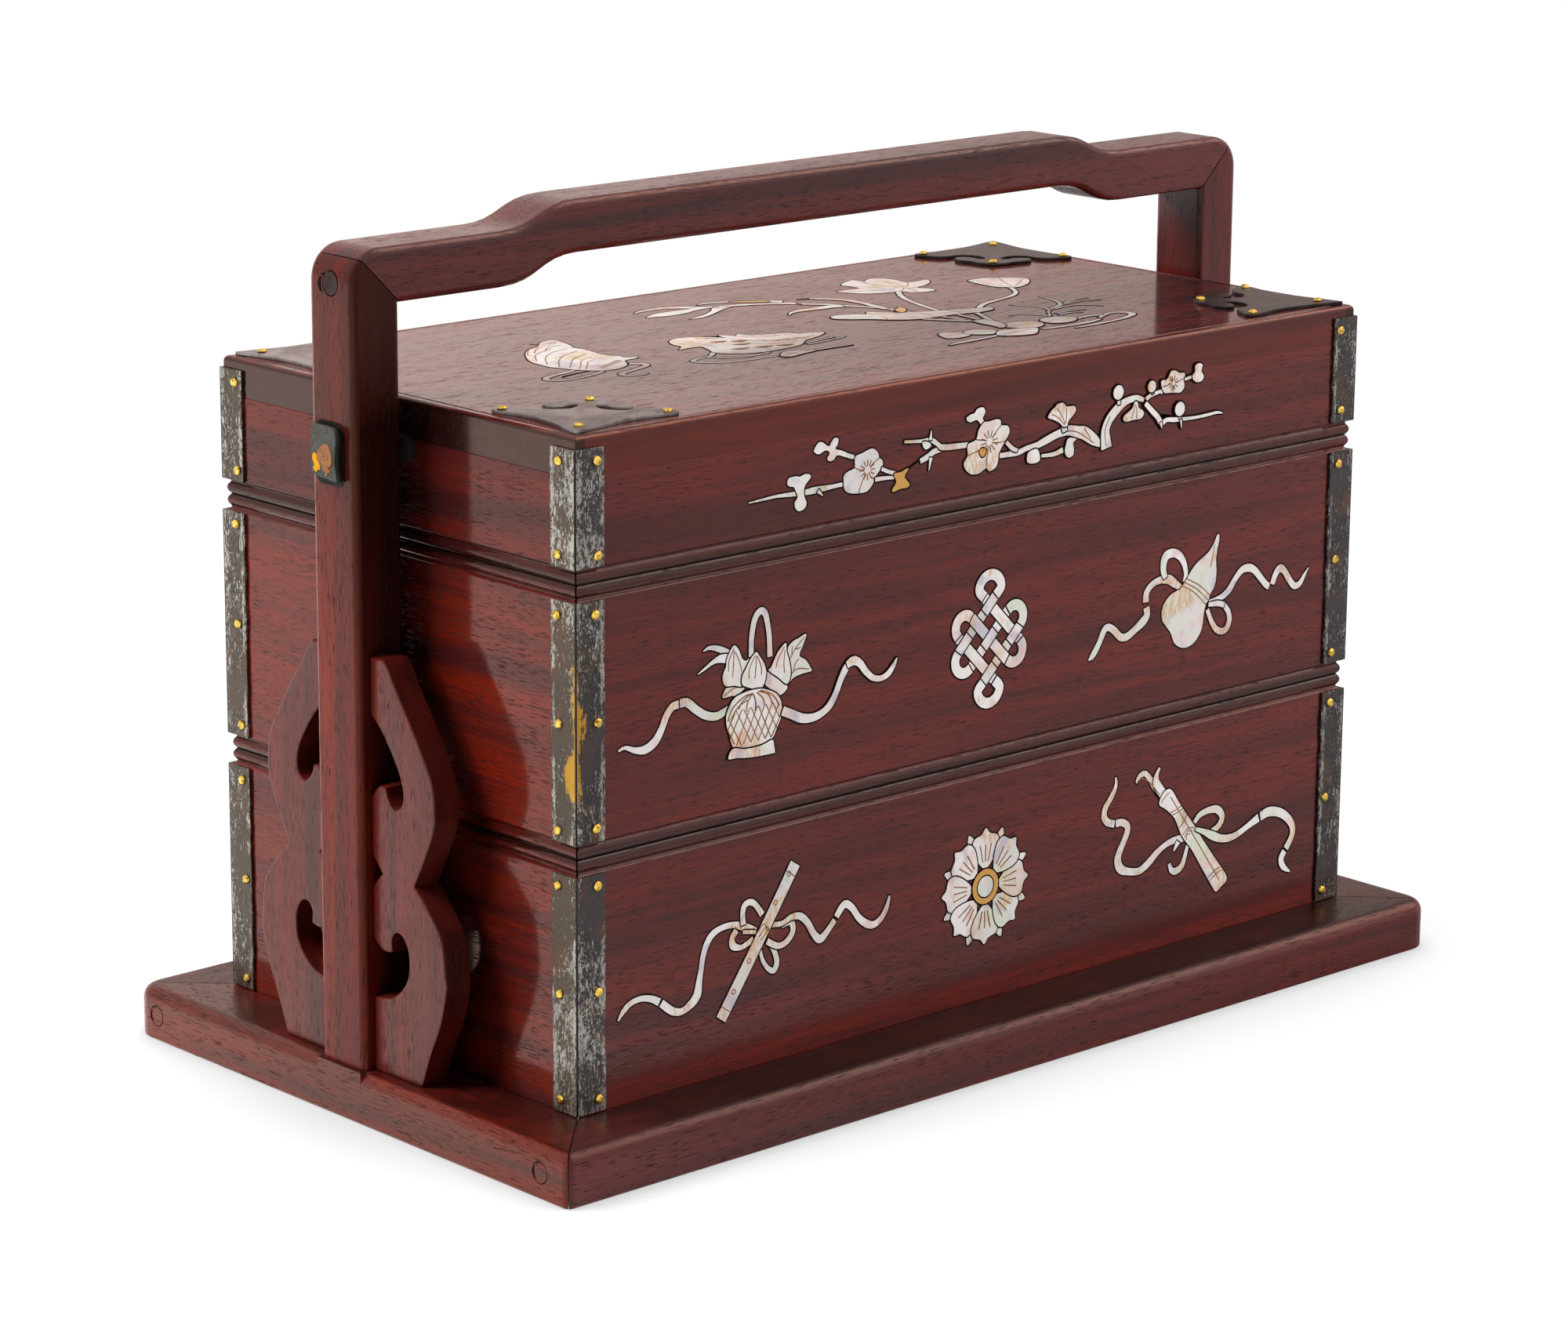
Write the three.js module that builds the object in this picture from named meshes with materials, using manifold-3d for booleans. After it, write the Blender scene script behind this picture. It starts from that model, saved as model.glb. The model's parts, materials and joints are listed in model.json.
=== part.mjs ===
// A two-tier picnic box with a lid, carried in a mitred frame with a humped handle rail.
// Millimetres, +Z up, +X along the long side. The origin is the centre of the base underside.

import * as THREE from 'three';
import { mergeVertices } from 'three/addons/utils/BufferGeometryUtils.js';
import Module from 'manifold-3d';

const wasm = await Module();
wasm.setup();

// Driving dimensions of the tiers
const tierLength = 315.4;
const tierDepth = 158.2;
const tierHeight = 77;
const wall = 8;
const floorThickness = 5;
const floorGrooveDepth = 3;
const floorLift = 2;

// Joint between one tier and the next
const lipHeight = 4;
const lipThickness = 3.4;
const lipClearance = 0.4;
const lipHeadroom = 0.5;
const lipChamfer = 0.5;

// Half-round beads beside each seam
const beadHeight = 3.6;
const beadDepth = 0.9;
const grooveFlat = 0.4;
const grooveSlope = 0.6;

// Lid
const lidWallHeight = 29.7;
const lidTopThickness = 11.3;
const lidTopRound = 1.6;
const lidTopDrop = 2.5;
const quirkInset = 2.6;
const quirkWidth = 0.9;
const quirkDepth = 0.6;

// Base
const baseMargin = 22.3;
const baseHeight = 15.7;
const baseLedge = 5.5;
const baseTopRound = 4;
const baseBottomRound = 1;
const rebateDepth = 3.5;
const rebateClearance = 0.5;
const crossRailWidth = 32;
const crossRailThickness = 8;
const crossRailRise = 2;
const baseDowelRadius = 3;
const baseDowelLength = 24;
const baseDowelInset = 12;

// Carrying frame
const uprightThickness = 16.5;
const frameDepth = 20;
const uprightInset = 1.5;
const handGap = 27.5;
const railThickness = 16;
const railShoulder = 36.5;
const railSlope = 28;
const railHump = 7;
const railHumpTop = 6.5;
const frameCornerRound = 10;
const frameEdgeRound = 2.2;
const tenonThickness = 8;
const tenonDepth = 12;
const tenonLength = 9;
const padSwoop = 5;
const handleDowelRadius = 3.3;
const handleDowelLength = 24;
const handleDowelRise = 6;

// Standing brackets
const bracketReach = 33;
const bracketHeight = 121;
const bracketThickness = 9;

// Corner straps and the nails that hold them
const strapThickness = 0.9;
const strapLeg = 10.2;
const strapBend = 1.1;
const strapFootGap = 0.3;
const strapTopMargin = 3.4;
const nailRadius = 1.6;
const nailRise = 1;
const nailSink = 0.3;
const nailEdge = 2.9;
const nailEnd = 3.6;

// Pierced plates on the lid corners
const plateReach = 42;
const plateThickness = 1;

// Locking pins and their sockets on the lid ends
const pinRadius = 1.3;
const pinHoleClearance = 0.5;
const pinRise = 27;
const pinTipGap = 0.5;
const pinTipChamfer = 0.5;
const pinHeadWidth = 13;
const pinHeadHeight = 18;
const pinHeadTrim = 2;
const pinHeadThickness = 2.6;
const pinHeadOffset = 1.2;
const pinHeadGap = 0.2;
const socketLength = 22;
const socketHeight = 7;
const socketThickness = 2.4;
const socketBore = 2.3;

// Fits and the faces of curves
const fitGap = 0.3;
const mitreSetback = 0.2;
const cutOverrun = 2;
const arcSegments = 4;
const splineSegments = 2;
const boreSegments = 20;
const nailSegments = 8;
const nailShoulderShare = 0.72;
const frameBevelSegments = 3;
const frameCurveSegments = 8;

// Sizes that follow from the driving dimensions
const baseLength = tierLength + 2 * baseMargin;
const baseDepth = tierDepth + 2 * baseMargin;
const baseRailWidth = baseMargin + baseLedge;
const rebateFloor = baseHeight - rebateDepth;
const middleSeat = rebateFloor + tierHeight;
const lidSeat = middleSeat + tierHeight;
const lidHeight = lidWallHeight + lidTopThickness;
const lidTop = lidSeat + lidHeight;
const uprightOuter = baseLength / 2 - uprightInset;
const uprightInner = uprightOuter - uprightThickness;
const railUnderside = lidTop + handGap;
const railTop = railUnderside + railThickness;
const beadSpan = beadHeight + grooveFlat + grooveSlope;
const lipSeat = lipHeight + lipHeadroom;
const floorRise = lipSeat + floorLift;
const pinLength = uprightOuter - tierLength / 2 - pinTipGap;

// Materials
const rosewood = new THREE.MeshStandardMaterial({ color: 0x54281f, roughness: 0.42, metalness: 0 });
const rosewoodFrame = new THREE.MeshStandardMaterial({ color: 0x5a3029, roughness: 0.38, metalness: 0 });
const patinatedMetal = new THREE.MeshStandardMaterial({ color: 0x55544c, roughness: 0.5, metalness: 0.8 });
const pinMetal = new THREE.MeshStandardMaterial({ color: 0x4c4a40, roughness: 0.55, metalness: 0.8 });

// Conversion between three.js geometries and closed solids
function solidOf(geometry) {
  const plain = geometry.clone();
  plain.deleteAttribute('normal');
  plain.deleteAttribute('uv');
  const merged = mergeVertices(plain);
  const mesh = new wasm.Mesh({
    numProp: 3,
    vertProperties: merged.attributes.position.array,
    triVerts: Uint32Array.from(merged.index.array),
  });
  return new wasm.Manifold(mesh);
}

function geometryOf(solid) {
  const mesh = solid.getMesh();
  const geometry = new THREE.BufferGeometry();
  geometry.setAttribute('position', new THREE.BufferAttribute(mesh.vertProperties, 3));
  geometry.setIndex(new THREE.BufferAttribute(mesh.triVerts, 1));
  return geometry;
}

function piece(name, geometry, material) {
  const mesh = new THREE.Mesh(geometry, material);
  mesh.name = name;
  return mesh;
}

// Basic shapes
function box(width, depth, height) {
  return new THREE.BoxGeometry(width, depth, height);
}

function rodAlongX(radius, length) {
  const rod = new THREE.CylinderGeometry(radius, radius, length, boreSegments);
  return rod.rotateZ(Math.PI / 2);
}

function polygon(points) {
  return new THREE.Shape(points.map(([x, y]) => new THREE.Vector2(x, y)));
}

function prism(shape, depth) {
  return new THREE.ExtrudeGeometry(shape, { depth, bevelEnabled: false, curveSegments: arcSegments });
}

// An outline drawn in x and z, with its thickness centred on the plane y = 0
function standingPrism(shape, thickness) {
  return prism(shape, thickness).rotateX(Math.PI / 2).translate(0, thickness / 2, 0);
}

// A low dome whose flat side lies at z = 0 and whose skirt goes a little below it
function nailHead() {
  const profile = [
    new THREE.Vector2(0, -nailSink),
    new THREE.Vector2(nailRadius, -nailSink),
    new THREE.Vector2(nailRadius * nailShoulderShare, nailRise * nailShoulderShare),
    new THREE.Vector2(0, nailRise),
  ];
  return new THREE.LatheGeometry(profile, nailSegments).rotateX(Math.PI / 2);
}

// A straight moulding along x. Its profile gives inset from the outer face and height,
// and both ends are mitred at 45 degrees.
function mitredMoulding(profile, length) {
  const geometry = prism(profile, length);
  const position = geometry.attributes.position;
  for (let i = 0; i < position.count; i += 1) {
    const inset = position.getX(i);
    const height = position.getY(i);
    const side = position.getZ(i) === 0 ? -1 : 1;
    position.setXYZ(i, side * (length / 2 - inset - mitreSetback), inset, height);
  }
  return geometry;
}

// Four mouldings round a rectangle, each placed on its own side
function rectangularFrame(prefix, suffix, length, depth, material, makeSide) {
  const sides = [
    { name: 'front', span: length, x: 0, y: -depth / 2, turn: 0 },
    { name: 'back', span: length, x: 0, y: depth / 2, turn: Math.PI },
    { name: 'left', span: depth, x: -length / 2, y: 0, turn: -Math.PI / 2 },
    { name: 'right', span: depth, x: length / 2, y: 0, turn: Math.PI / 2 },
  ];
  return sides.map((side) => {
    const mesh = piece(`${prefix}_${side.name}_${suffix}`, makeSide(side), material);
    mesh.position.set(side.x, side.y, 0);
    mesh.rotation.z = side.turn;
    return mesh;
  });
}

// The same piece on all four corners of a rectangle
function fourCorners(prefix, length, depth, geometry, material, height) {
  const corners = [
    { name: 'front_left', x: -length / 2, y: -depth / 2, turn: 0 },
    { name: 'front_right', x: length / 2, y: -depth / 2, turn: Math.PI / 2 },
    { name: 'back_right', x: length / 2, y: depth / 2, turn: Math.PI },
    { name: 'back_left', x: -length / 2, y: depth / 2, turn: -Math.PI / 2 },
  ];
  return corners.map((corner) => {
    const mesh = piece(`${prefix}_${corner.name}`, geometry, material);
    mesh.position.set(corner.x, corner.y, height);
    mesh.rotation.z = corner.turn;
    return mesh;
  });
}

// Base: mitred rails with a rebate for the bottom tier
function baseProfile() {
  const profile = new THREE.Shape();
  const topCentre = baseHeight - baseTopRound;
  profile.moveTo(baseBottomRound, 0);
  profile.lineTo(baseRailWidth, 0);
  profile.lineTo(baseRailWidth, rebateFloor);
  profile.lineTo(baseMargin - rebateClearance, rebateFloor);
  profile.lineTo(baseMargin - rebateClearance, baseHeight);
  profile.lineTo(baseTopRound, baseHeight);
  profile.absarc(baseTopRound, topCentre, baseTopRound, Math.PI / 2, Math.PI, false);
  profile.lineTo(0, baseBottomRound);
  profile.absarc(baseBottomRound, baseBottomRound, baseBottomRound, Math.PI, Math.PI * 1.5, false);
  return profile;
}

// Under each upright the rounded edge is left square, with a short swoop at each end
function uprightPad() {
  const half = frameDepth / 2;
  const swoopEnd = half + padSwoop;
  const shape = new THREE.Shape();
  shape.moveTo(-swoopEnd, baseTopRound);
  shape.quadraticCurveTo(-half, baseTopRound, -half, 0);
  shape.lineTo(half, 0);
  shape.quadraticCurveTo(half, baseTopRound, swoopEnd, baseTopRound);
  const inner = baseTopRound * 2;
  shape.lineTo(swoopEnd, inner);
  shape.lineTo(-swoopEnd, inner);
  const depth = baseTopRound * 1.5;
  return prism(shape, depth).translate(0, 0, baseHeight - depth);
}

function baseRail(side) {
  let rail = solidOf(mitredMoulding(baseProfile(), side.span));
  const isEnd = side.span === baseDepth;
  const holeLength = baseDowelLength + fitGap;
  const radius = baseDowelRadius + fitGap;
  for (const end of [-1, 1]) {
    const hole = rodAlongX(radius, holeLength + cutOverrun);
    const reach = (holeLength - cutOverrun) / 2;
    if (isEnd) {
      hole.rotateZ(Math.PI / 2);
      hole.translate(end * (side.span / 2 - baseDowelInset), reach, baseHeight / 2);
    } else {
      hole.translate(end * (side.span / 2 - reach), baseDowelInset, baseHeight / 2);
    }
    rail = rail.subtract(solidOf(hole));
  }
  if (isEnd) {
    rail = rail.add(solidOf(uprightPad()));
    const mortiseDepth = tenonLength + fitGap + cutOverrun;
    const mortise = box(tenonDepth + 2 * fitGap, tenonThickness + 2 * fitGap, mortiseDepth);
    const inset = uprightInset + uprightThickness / 2;
    mortise.translate(0, inset, baseHeight + cutOverrun - mortiseDepth / 2);
    rail = rail.subtract(solidOf(mortise));
  }
  return geometryOf(rail);
}

function makeBase() {
  const base = new THREE.Group();
  base.add(...rectangularFrame('base', 'rail', baseLength, baseDepth, rosewoodFrame, baseRail));

  const crossLength = baseDepth - 2 * baseRailWidth;
  const crossRail = piece('base_cross_rail', box(crossRailWidth, crossLength, crossRailThickness), rosewood);
  crossRail.position.z = crossRailRise + crossRailThickness / 2;
  base.add(crossRail);

  const dowel = rodAlongX(baseDowelRadius, baseDowelLength);
  for (const [endName, endSign] of [['left', -1], ['right', 1]]) {
    for (const [sideName, sideSign] of [['front', -1], ['back', 1]]) {
      const peg = piece(`base_dowel_${sideName}_${endName}`, dowel, rosewood);
      const along = baseLength / 2 - baseDowelLength / 2;
      const across = baseDepth / 2 - baseDowelInset;
      peg.position.set(endSign * along, sideSign * across, baseHeight / 2);
      base.add(peg);
    }
  }
  return base;
}

// Carrying frame: one humped outline, parted at the mitres into rail and uprights
function frameOutline() {
  const shoulder = uprightInner - railShoulder;
  const hump = shoulder - railSlope;
  const middle = (shoulder + hump) / 2;
  const foot = baseHeight - cutOverrun * 2;
  const outer = uprightOuter;
  const inner = uprightInner;
  const humpUnder = railUnderside + railHump;
  const humpTop = railTop + railHumpTop;
  const round = frameCornerRound;
  const outline = new THREE.Shape();
  outline.moveTo(outer, foot);
  outline.lineTo(outer, railTop - round);
  outline.absarc(outer - round, railTop - round, round, 0, Math.PI / 2, false);
  outline.lineTo(shoulder, railTop);
  outline.bezierCurveTo(middle, railTop, middle, humpTop, hump, humpTop);
  outline.lineTo(-hump, humpTop);
  outline.bezierCurveTo(-middle, humpTop, -middle, railTop, -shoulder, railTop);
  outline.lineTo(-outer + round, railTop);
  outline.absarc(-outer + round, railTop - round, round, Math.PI / 2, Math.PI, false);
  outline.lineTo(-outer, foot);
  outline.lineTo(-inner, foot);
  outline.lineTo(-inner, railUnderside);
  outline.lineTo(-shoulder, railUnderside);
  outline.bezierCurveTo(-middle, railUnderside, -middle, humpUnder, -hump, humpUnder);
  outline.lineTo(hump, humpUnder);
  outline.bezierCurveTo(middle, humpUnder, middle, railUnderside, shoulder, railUnderside);
  outline.lineTo(inner, railUnderside);
  outline.lineTo(inner, foot);
  return outline;
}

function frameSolid() {
  const core = frameDepth - 2 * frameEdgeRound;
  const geometry = new THREE.ExtrudeGeometry(frameOutline(), {
    depth: core,
    bevelThickness: frameEdgeRound,
    bevelSize: frameEdgeRound,
    bevelOffset: -frameEdgeRound,
    bevelSegments: frameBevelSegments,
    curveSegments: frameCurveSegments,
  });
  geometry.rotateX(Math.PI / 2);
  geometry.translate(0, core / 2, 0);
  return solidOf(geometry);
}

// Prism of the region above both mitres, or of the region outside and below one of them
function railRegion() {
  const corner = uprightInner - mitreSetback;
  const reach = uprightThickness * 2;
  const points = [
    [-corner, railUnderside - cutOverrun],
    [corner, railUnderside - cutOverrun],
    [corner, railUnderside],
    [corner + reach, railUnderside + reach],
    [-corner - reach, railUnderside + reach],
    [-corner, railUnderside],
  ];
  return solidOf(standingPrism(polygon(points), frameDepth * 2));
}

function uprightRegion(side) {
  const corner = railUnderside - mitreSetback;
  const reach = uprightThickness * 2;
  const points = [
    [side * (uprightInner - cutOverrun), baseHeight],
    [side * (uprightInner + reach), baseHeight],
    [side * (uprightInner + reach), corner + reach],
    [side * (uprightInner - cutOverrun), corner - cutOverrun],
  ];
  return solidOf(standingPrism(polygon(points), frameDepth * 2));
}

function handleDowelHole(side) {
  const length = handleDowelLength + fitGap + cutOverrun;
  const hole = rodAlongX(handleDowelRadius + fitGap, length);
  const centre = uprightOuter + cutOverrun - length / 2;
  hole.translate(side * centre, 0, railUnderside + handleDowelRise);
  return solidOf(hole);
}

function upright(frame, side) {
  const centre = uprightOuter - uprightThickness / 2;
  const tenonSpan = tenonLength + cutOverrun;
  const tenon = box(tenonThickness, tenonDepth, tenonSpan);
  tenon.translate(side * centre, 0, baseHeight + cutOverrun - tenonSpan / 2);
  const pinHole = rodAlongX(pinRadius + pinHoleClearance, uprightThickness + 2 * cutOverrun);
  pinHole.translate(side * centre, 0, lidSeat + pinRise);
  return frame
    .intersect(uprightRegion(side))
    .add(solidOf(tenon))
    .subtract(solidOf(pinHole))
    .subtract(handleDowelHole(side));
}

// Standing bracket: cusped outline with pierced scrolls, in shares of its reach and height.
// The first list climbs the outer edge and the others come down along the upright.
const bracketFootShare = 0.65;
const bracketLowerEdgeShares = [
  [0.65, 0], [0.776, 0.087], [0.915, 0.169], [0.994, 0.252], [0.985, 0.293], [0.933, 0.376],
  [0.742, 0.442], [0.576, 0.483],
];
const bracketUpperEdgeShares = [
  [0.576, 0.483], [0.697, 0.541], [0.839, 0.624], [0.864, 0.682], [0.818, 0.748],
  [0.676, 0.814], [0.533, 0.872], [0.358, 0.938], [0.261, 0.979], [0.19, 1],
];
const bracketUpperCutShares = [
  [0.018, 0.86], [0.142, 0.831], [0.288, 0.781], [0.4, 0.731], [0.436, 0.69],
  [0.4, 0.662], [0.318, 0.653], [0.236, 0.672], [0.203, 0.697],
];
const bracketUpperLobeShares = [[0.203, 0.697], [0.106, 0.697], [0, 0.665]];
const bracketNotchUpperShare = 0.529;
const bracketNotchShares = [0.13, 0.488];
const bracketNotchLowerShare = 0.45;
const bracketLowerLobeShares = [[0, 0.326], [0.13, 0.3], [0.267, 0.304]];
const bracketLowerCutShares = [
  [0.267, 0.304], [0.262, 0.335], [0.318, 0.354], [0.4, 0.35], [0.468, 0.325], [0.488, 0.293],
  [0.464, 0.252], [0.364, 0.215], [0.212, 0.19], [0, 0.182],
];

function bracketPoint([reachShare, heightShare]) {
  return new THREE.Vector2(reachShare * bracketReach, heightShare * bracketHeight);
}

function bracketGeometry() {
  const shape = new THREE.Shape();
  const smooth = (shares) => shape.splineThru(shares.slice(1).map(bracketPoint));
  const straight = (share) => {
    const point = bracketPoint(share);
    shape.lineTo(point.x, point.y);
  };
  shape.moveTo(0, 0);
  straight([bracketFootShare, 0]);
  smooth(bracketLowerEdgeShares);
  smooth(bracketUpperEdgeShares);
  straight([0, 1]);
  straight([0, bracketUpperCutShares[0][1]]);
  straight(bracketUpperCutShares[0]);
  smooth(bracketUpperCutShares);
  smooth(bracketUpperLobeShares);
  straight([0, bracketNotchUpperShare]);
  straight(bracketNotchShares);
  straight([0, bracketNotchLowerShare]);
  straight(bracketLowerLobeShares[0]);
  smooth(bracketLowerLobeShares);
  smooth(bracketLowerCutShares);
  const geometry = new THREE.ExtrudeGeometry(shape, {
    depth: bracketThickness,
    bevelEnabled: false,
    curveSegments: splineSegments,
  });
  return geometry.rotateX(Math.PI / 2).translate(0, bracketThickness / 2, 0);
}

function makeFrame() {
  const group = new THREE.Group();
  const frame = frameSolid();
  const rail = frame
    .intersect(railRegion())
    .subtract(handleDowelHole(-1))
    .subtract(handleDowelHole(1));
  group.add(piece('handle_rail', geometryOf(rail), rosewoodFrame));

  const dowel = rodAlongX(handleDowelRadius, handleDowelLength);
  const bracket = bracketGeometry();
  const centre = uprightOuter - uprightThickness / 2;
  for (const [name, side] of [['left', -1], ['right', 1]]) {
    group.add(piece(`${name}_upright`, geometryOf(upright(frame, side)), rosewoodFrame));

    const peg = piece(`handle_dowel_${name}`, dowel, rosewood);
    const along = uprightOuter - handleDowelLength / 2;
    peg.position.set(side * along, 0, railUnderside + handleDowelRise);
    group.add(peg);

    for (const [faceName, face] of [['front', -1], ['back', 1]]) {
      const wing = piece(`bracket_${name}_${faceName}`, bracket, rosewoodFrame);
      wing.position.set(side * centre, face * frameDepth / 2, baseHeight);
      wing.rotation.z = face * Math.PI / 2;
      group.add(wing);
    }
  }
  return group;
}

// Wall profiles of the tiers and the lid, from the outer face inwards
function wallProfile(height, hasLowerBead, hasLip, hasFloor) {
  const lipInset = wall - lipThickness;
  const profile = new THREE.Shape();
  const halfBead = beadHeight / 2;
  const start = hasLowerBead ? beadDepth : 0;
  profile.moveTo(start, 0);
  profile.lineTo(lipInset - lipClearance, 0);
  profile.lineTo(lipInset - lipClearance, lipSeat);
  profile.lineTo(wall, lipSeat);
  if (hasFloor) {
    const grooveBottom = floorRise - fitGap / 2;
    const grooveTop = floorRise + floorThickness + fitGap / 2;
    profile.lineTo(wall, grooveBottom);
    profile.lineTo(wall - floorGrooveDepth, grooveBottom);
    profile.lineTo(wall - floorGrooveDepth, grooveTop);
    profile.lineTo(wall, grooveTop);
  }
  if (hasLip) {
    profile.lineTo(wall, height + lipHeight);
    profile.lineTo(lipInset + lipChamfer, height + lipHeight);
    profile.lineTo(lipInset, height + lipHeight - lipChamfer);
    profile.lineTo(lipInset, height);
    profile.lineTo(beadDepth, height);
    profile.quadraticCurveTo(-beadDepth, height - halfBead, beadDepth, height - beadHeight);
    profile.lineTo(beadDepth, height - beadHeight - grooveFlat);
    profile.lineTo(0, height - beadSpan);
  } else {
    profile.lineTo(wall, height);
    profile.lineTo(0, height);
  }
  if (hasLowerBead) {
    profile.lineTo(0, beadSpan);
    profile.lineTo(beadDepth, beadHeight + grooveFlat);
    profile.lineTo(beadDepth, beadHeight);
    profile.quadraticCurveTo(-beadDepth, halfBead, beadDepth, 0);
  }
  return profile;
}

// A folded strap from one height to another, with nails along both legs
function strapGeometry(bottom, top, nailsPerLeg) {
  const shape = new THREE.Shape();
  const outside = -strapThickness;
  const bendCentre = outside + strapBend;
  shape.moveTo(strapLeg, 0);
  shape.lineTo(0, 0);
  shape.lineTo(0, strapLeg);
  shape.lineTo(outside, strapLeg);
  shape.lineTo(outside, bendCentre);
  shape.absarc(bendCentre, bendCentre, strapBend, Math.PI, Math.PI * 1.5, false);
  shape.lineTo(strapLeg, outside);
  let strap = solidOf(prism(shape, top - bottom).translate(0, 0, bottom));
  for (let i = 0; i < nailsPerLeg; i += 1) {
    const share = i / (nailsPerLeg - 1);
    const height = bottom + nailEnd + share * (top - bottom - 2 * nailEnd);
    const along = strapLeg - nailEdge;
    const frontNail = nailHead().rotateX(Math.PI / 2).translate(along, outside, height);
    const sideNail = nailHead().rotateY(-Math.PI / 2).translate(outside, along, height);
    strap = strap.add(solidOf(frontNail)).add(solidOf(sideNail));
  }
  return geometryOf(strap);
}

function makeTier(name, hasLowerBead, strapBottom) {
  const tier = new THREE.Group();
  const profile = wallProfile(tierHeight, hasLowerBead, true, true);
  const board = (side) => mitredMoulding(profile, side.span);
  tier.add(...rectangularFrame(name, 'board', tierLength, tierDepth, rosewood, board));

  const rim = 2 * (wall - floorGrooveDepth + fitGap);
  const floor = piece(`${name}_floor`, box(tierLength - rim, tierDepth - rim, floorThickness), rosewood);
  floor.position.z = floorRise + floorThickness / 2;
  tier.add(floor);

  const strap = strapGeometry(strapBottom, tierHeight - beadSpan, 3);
  tier.add(...fourCorners(`${name}_strap`, tierLength, tierDepth, strap, patinatedMetal, 0));
  return tier;
}

// Lid top: rings of one moulded outline, stacked from the underside to the top field
function lidTopGeometry() {
  const inner = wall + lipClearance;
  const top = lidTopThickness;
  const rings = [[inner, -lidTopDrop], [inner, 0], [0, 0]];
  for (let i = 0; i <= arcSegments; i += 1) {
    const angle = (i / arcSegments) * (Math.PI / 2);
    const inset = lidTopRound * (1 - Math.cos(angle));
    rings.push([inset, top - lidTopRound * (1 - Math.sin(angle))]);
  }
  rings.push([quirkInset, top]);
  rings.push([quirkInset + quirkWidth / 2, top - quirkDepth]);
  rings.push([quirkInset + quirkWidth, top]);

  const positions = [];
  for (const [inset, height] of rings) {
    const x = tierLength / 2 - inset;
    const y = tierDepth / 2 - inset;
    positions.push(-x, -y, height, x, -y, height, x, y, height, -x, y, height);
  }
  const index = [0, 2, 1, 0, 3, 2];
  for (let ring = 0; ring < rings.length - 1; ring += 1) {
    for (let side = 0; side < 4; side += 1) {
      const a = ring * 4 + side;
      const b = ring * 4 + (side + 1) % 4;
      index.push(a, b, b + 4, a, b + 4, a + 4);
    }
  }
  const last = (rings.length - 1) * 4;
  index.push(last, last + 1, last + 2, last, last + 2, last + 3);
  const geometry = new THREE.BufferGeometry();
  geometry.setAttribute('position', new THREE.Float32BufferAttribute(positions, 3));
  geometry.setIndex(index);
  return geometry;
}

// Corner plate: half of its outline, in shares of the reach from the lid corner,
// mirrored across the diagonal. It runs along one edge, round the tip, into the
// scroll slot, round the lobe and up to the middle of the head.
const plateCornerShare = 0.06;
const plateEdgeShares = [
  [0.2, 0.085], [0.38, 0.125], [0.58, 0.155], [0.75, 0.145], [0.91, 0.11],
];
const plateWingShares = [
  [0.985, 0.12], [1, 0.17], [0.97, 0.235], [0.93, 0.315], [0.86, 0.37],
];
const plateScrollShares = [
  [0.76, 0.38], [0.685, 0.45], [0.665, 0.53], [0.695, 0.61], [0.74, 0.635], [0.765, 0.6],
  [0.76, 0.54], [0.785, 0.475],
];
const plateHeadShares = [
  [0.84, 0.45], [0.895, 0.475], [0.915, 0.55], [0.89, 0.635], [0.885, 0.73], [0.865, 0.785],
];
const plateTipShare = 0.835;
const plateNailShares = [[0.19, 0.19], [0.93, 0.165], [0.165, 0.93], [0.8, 0.8]];

function plateGeometry() {
  const half = [...plateEdgeShares, ...plateWingShares, ...plateScrollShares, ...plateHeadShares];
  const mirrored = half.map(([a, b]) => [b, a]).reverse();
  const outline = [...half, [plateTipShare, plateTipShare], ...mirrored];
  const points = outline.map(([a, b]) => new THREE.Vector2(a * plateReach, b * plateReach));
  const corner = plateCornerShare * plateReach;
  const shape = new THREE.Shape();
  shape.moveTo(corner, corner);
  shape.splineThru(points);
  shape.lineTo(corner, corner);
  const geometry = new THREE.ExtrudeGeometry(shape, {
    depth: plateThickness,
    bevelEnabled: false,
    curveSegments: splineSegments,
  });
  let plate = solidOf(geometry);
  for (const [a, b] of plateNailShares) {
    const nail = nailHead().translate(a * plateReach, b * plateReach, plateThickness);
    plate = plate.add(solidOf(nail));
  }
  return geometryOf(plate);
}

// Socket plate on a lid end: a strip with round ends and a bore for the pin
function socketGeometry() {
  const radius = socketHeight / 2;
  const straight = socketLength / 2 - radius;
  const shape = new THREE.Shape();
  shape.moveTo(-radius, -straight);
  shape.absarc(0, -straight, radius, Math.PI, 2 * Math.PI, false);
  shape.absarc(0, straight, radius, 0, Math.PI, false);
  const bore = new THREE.Path();
  bore.absarc(0, 0, socketBore, 0, 2 * Math.PI, true);
  shape.holes.push(bore);
  const geometry = new THREE.ExtrudeGeometry(shape, {
    depth: socketThickness,
    bevelEnabled: false,
    curveSegments: boreSegments / 2,
  });
  return geometry.rotateY(-Math.PI / 2);
}

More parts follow.
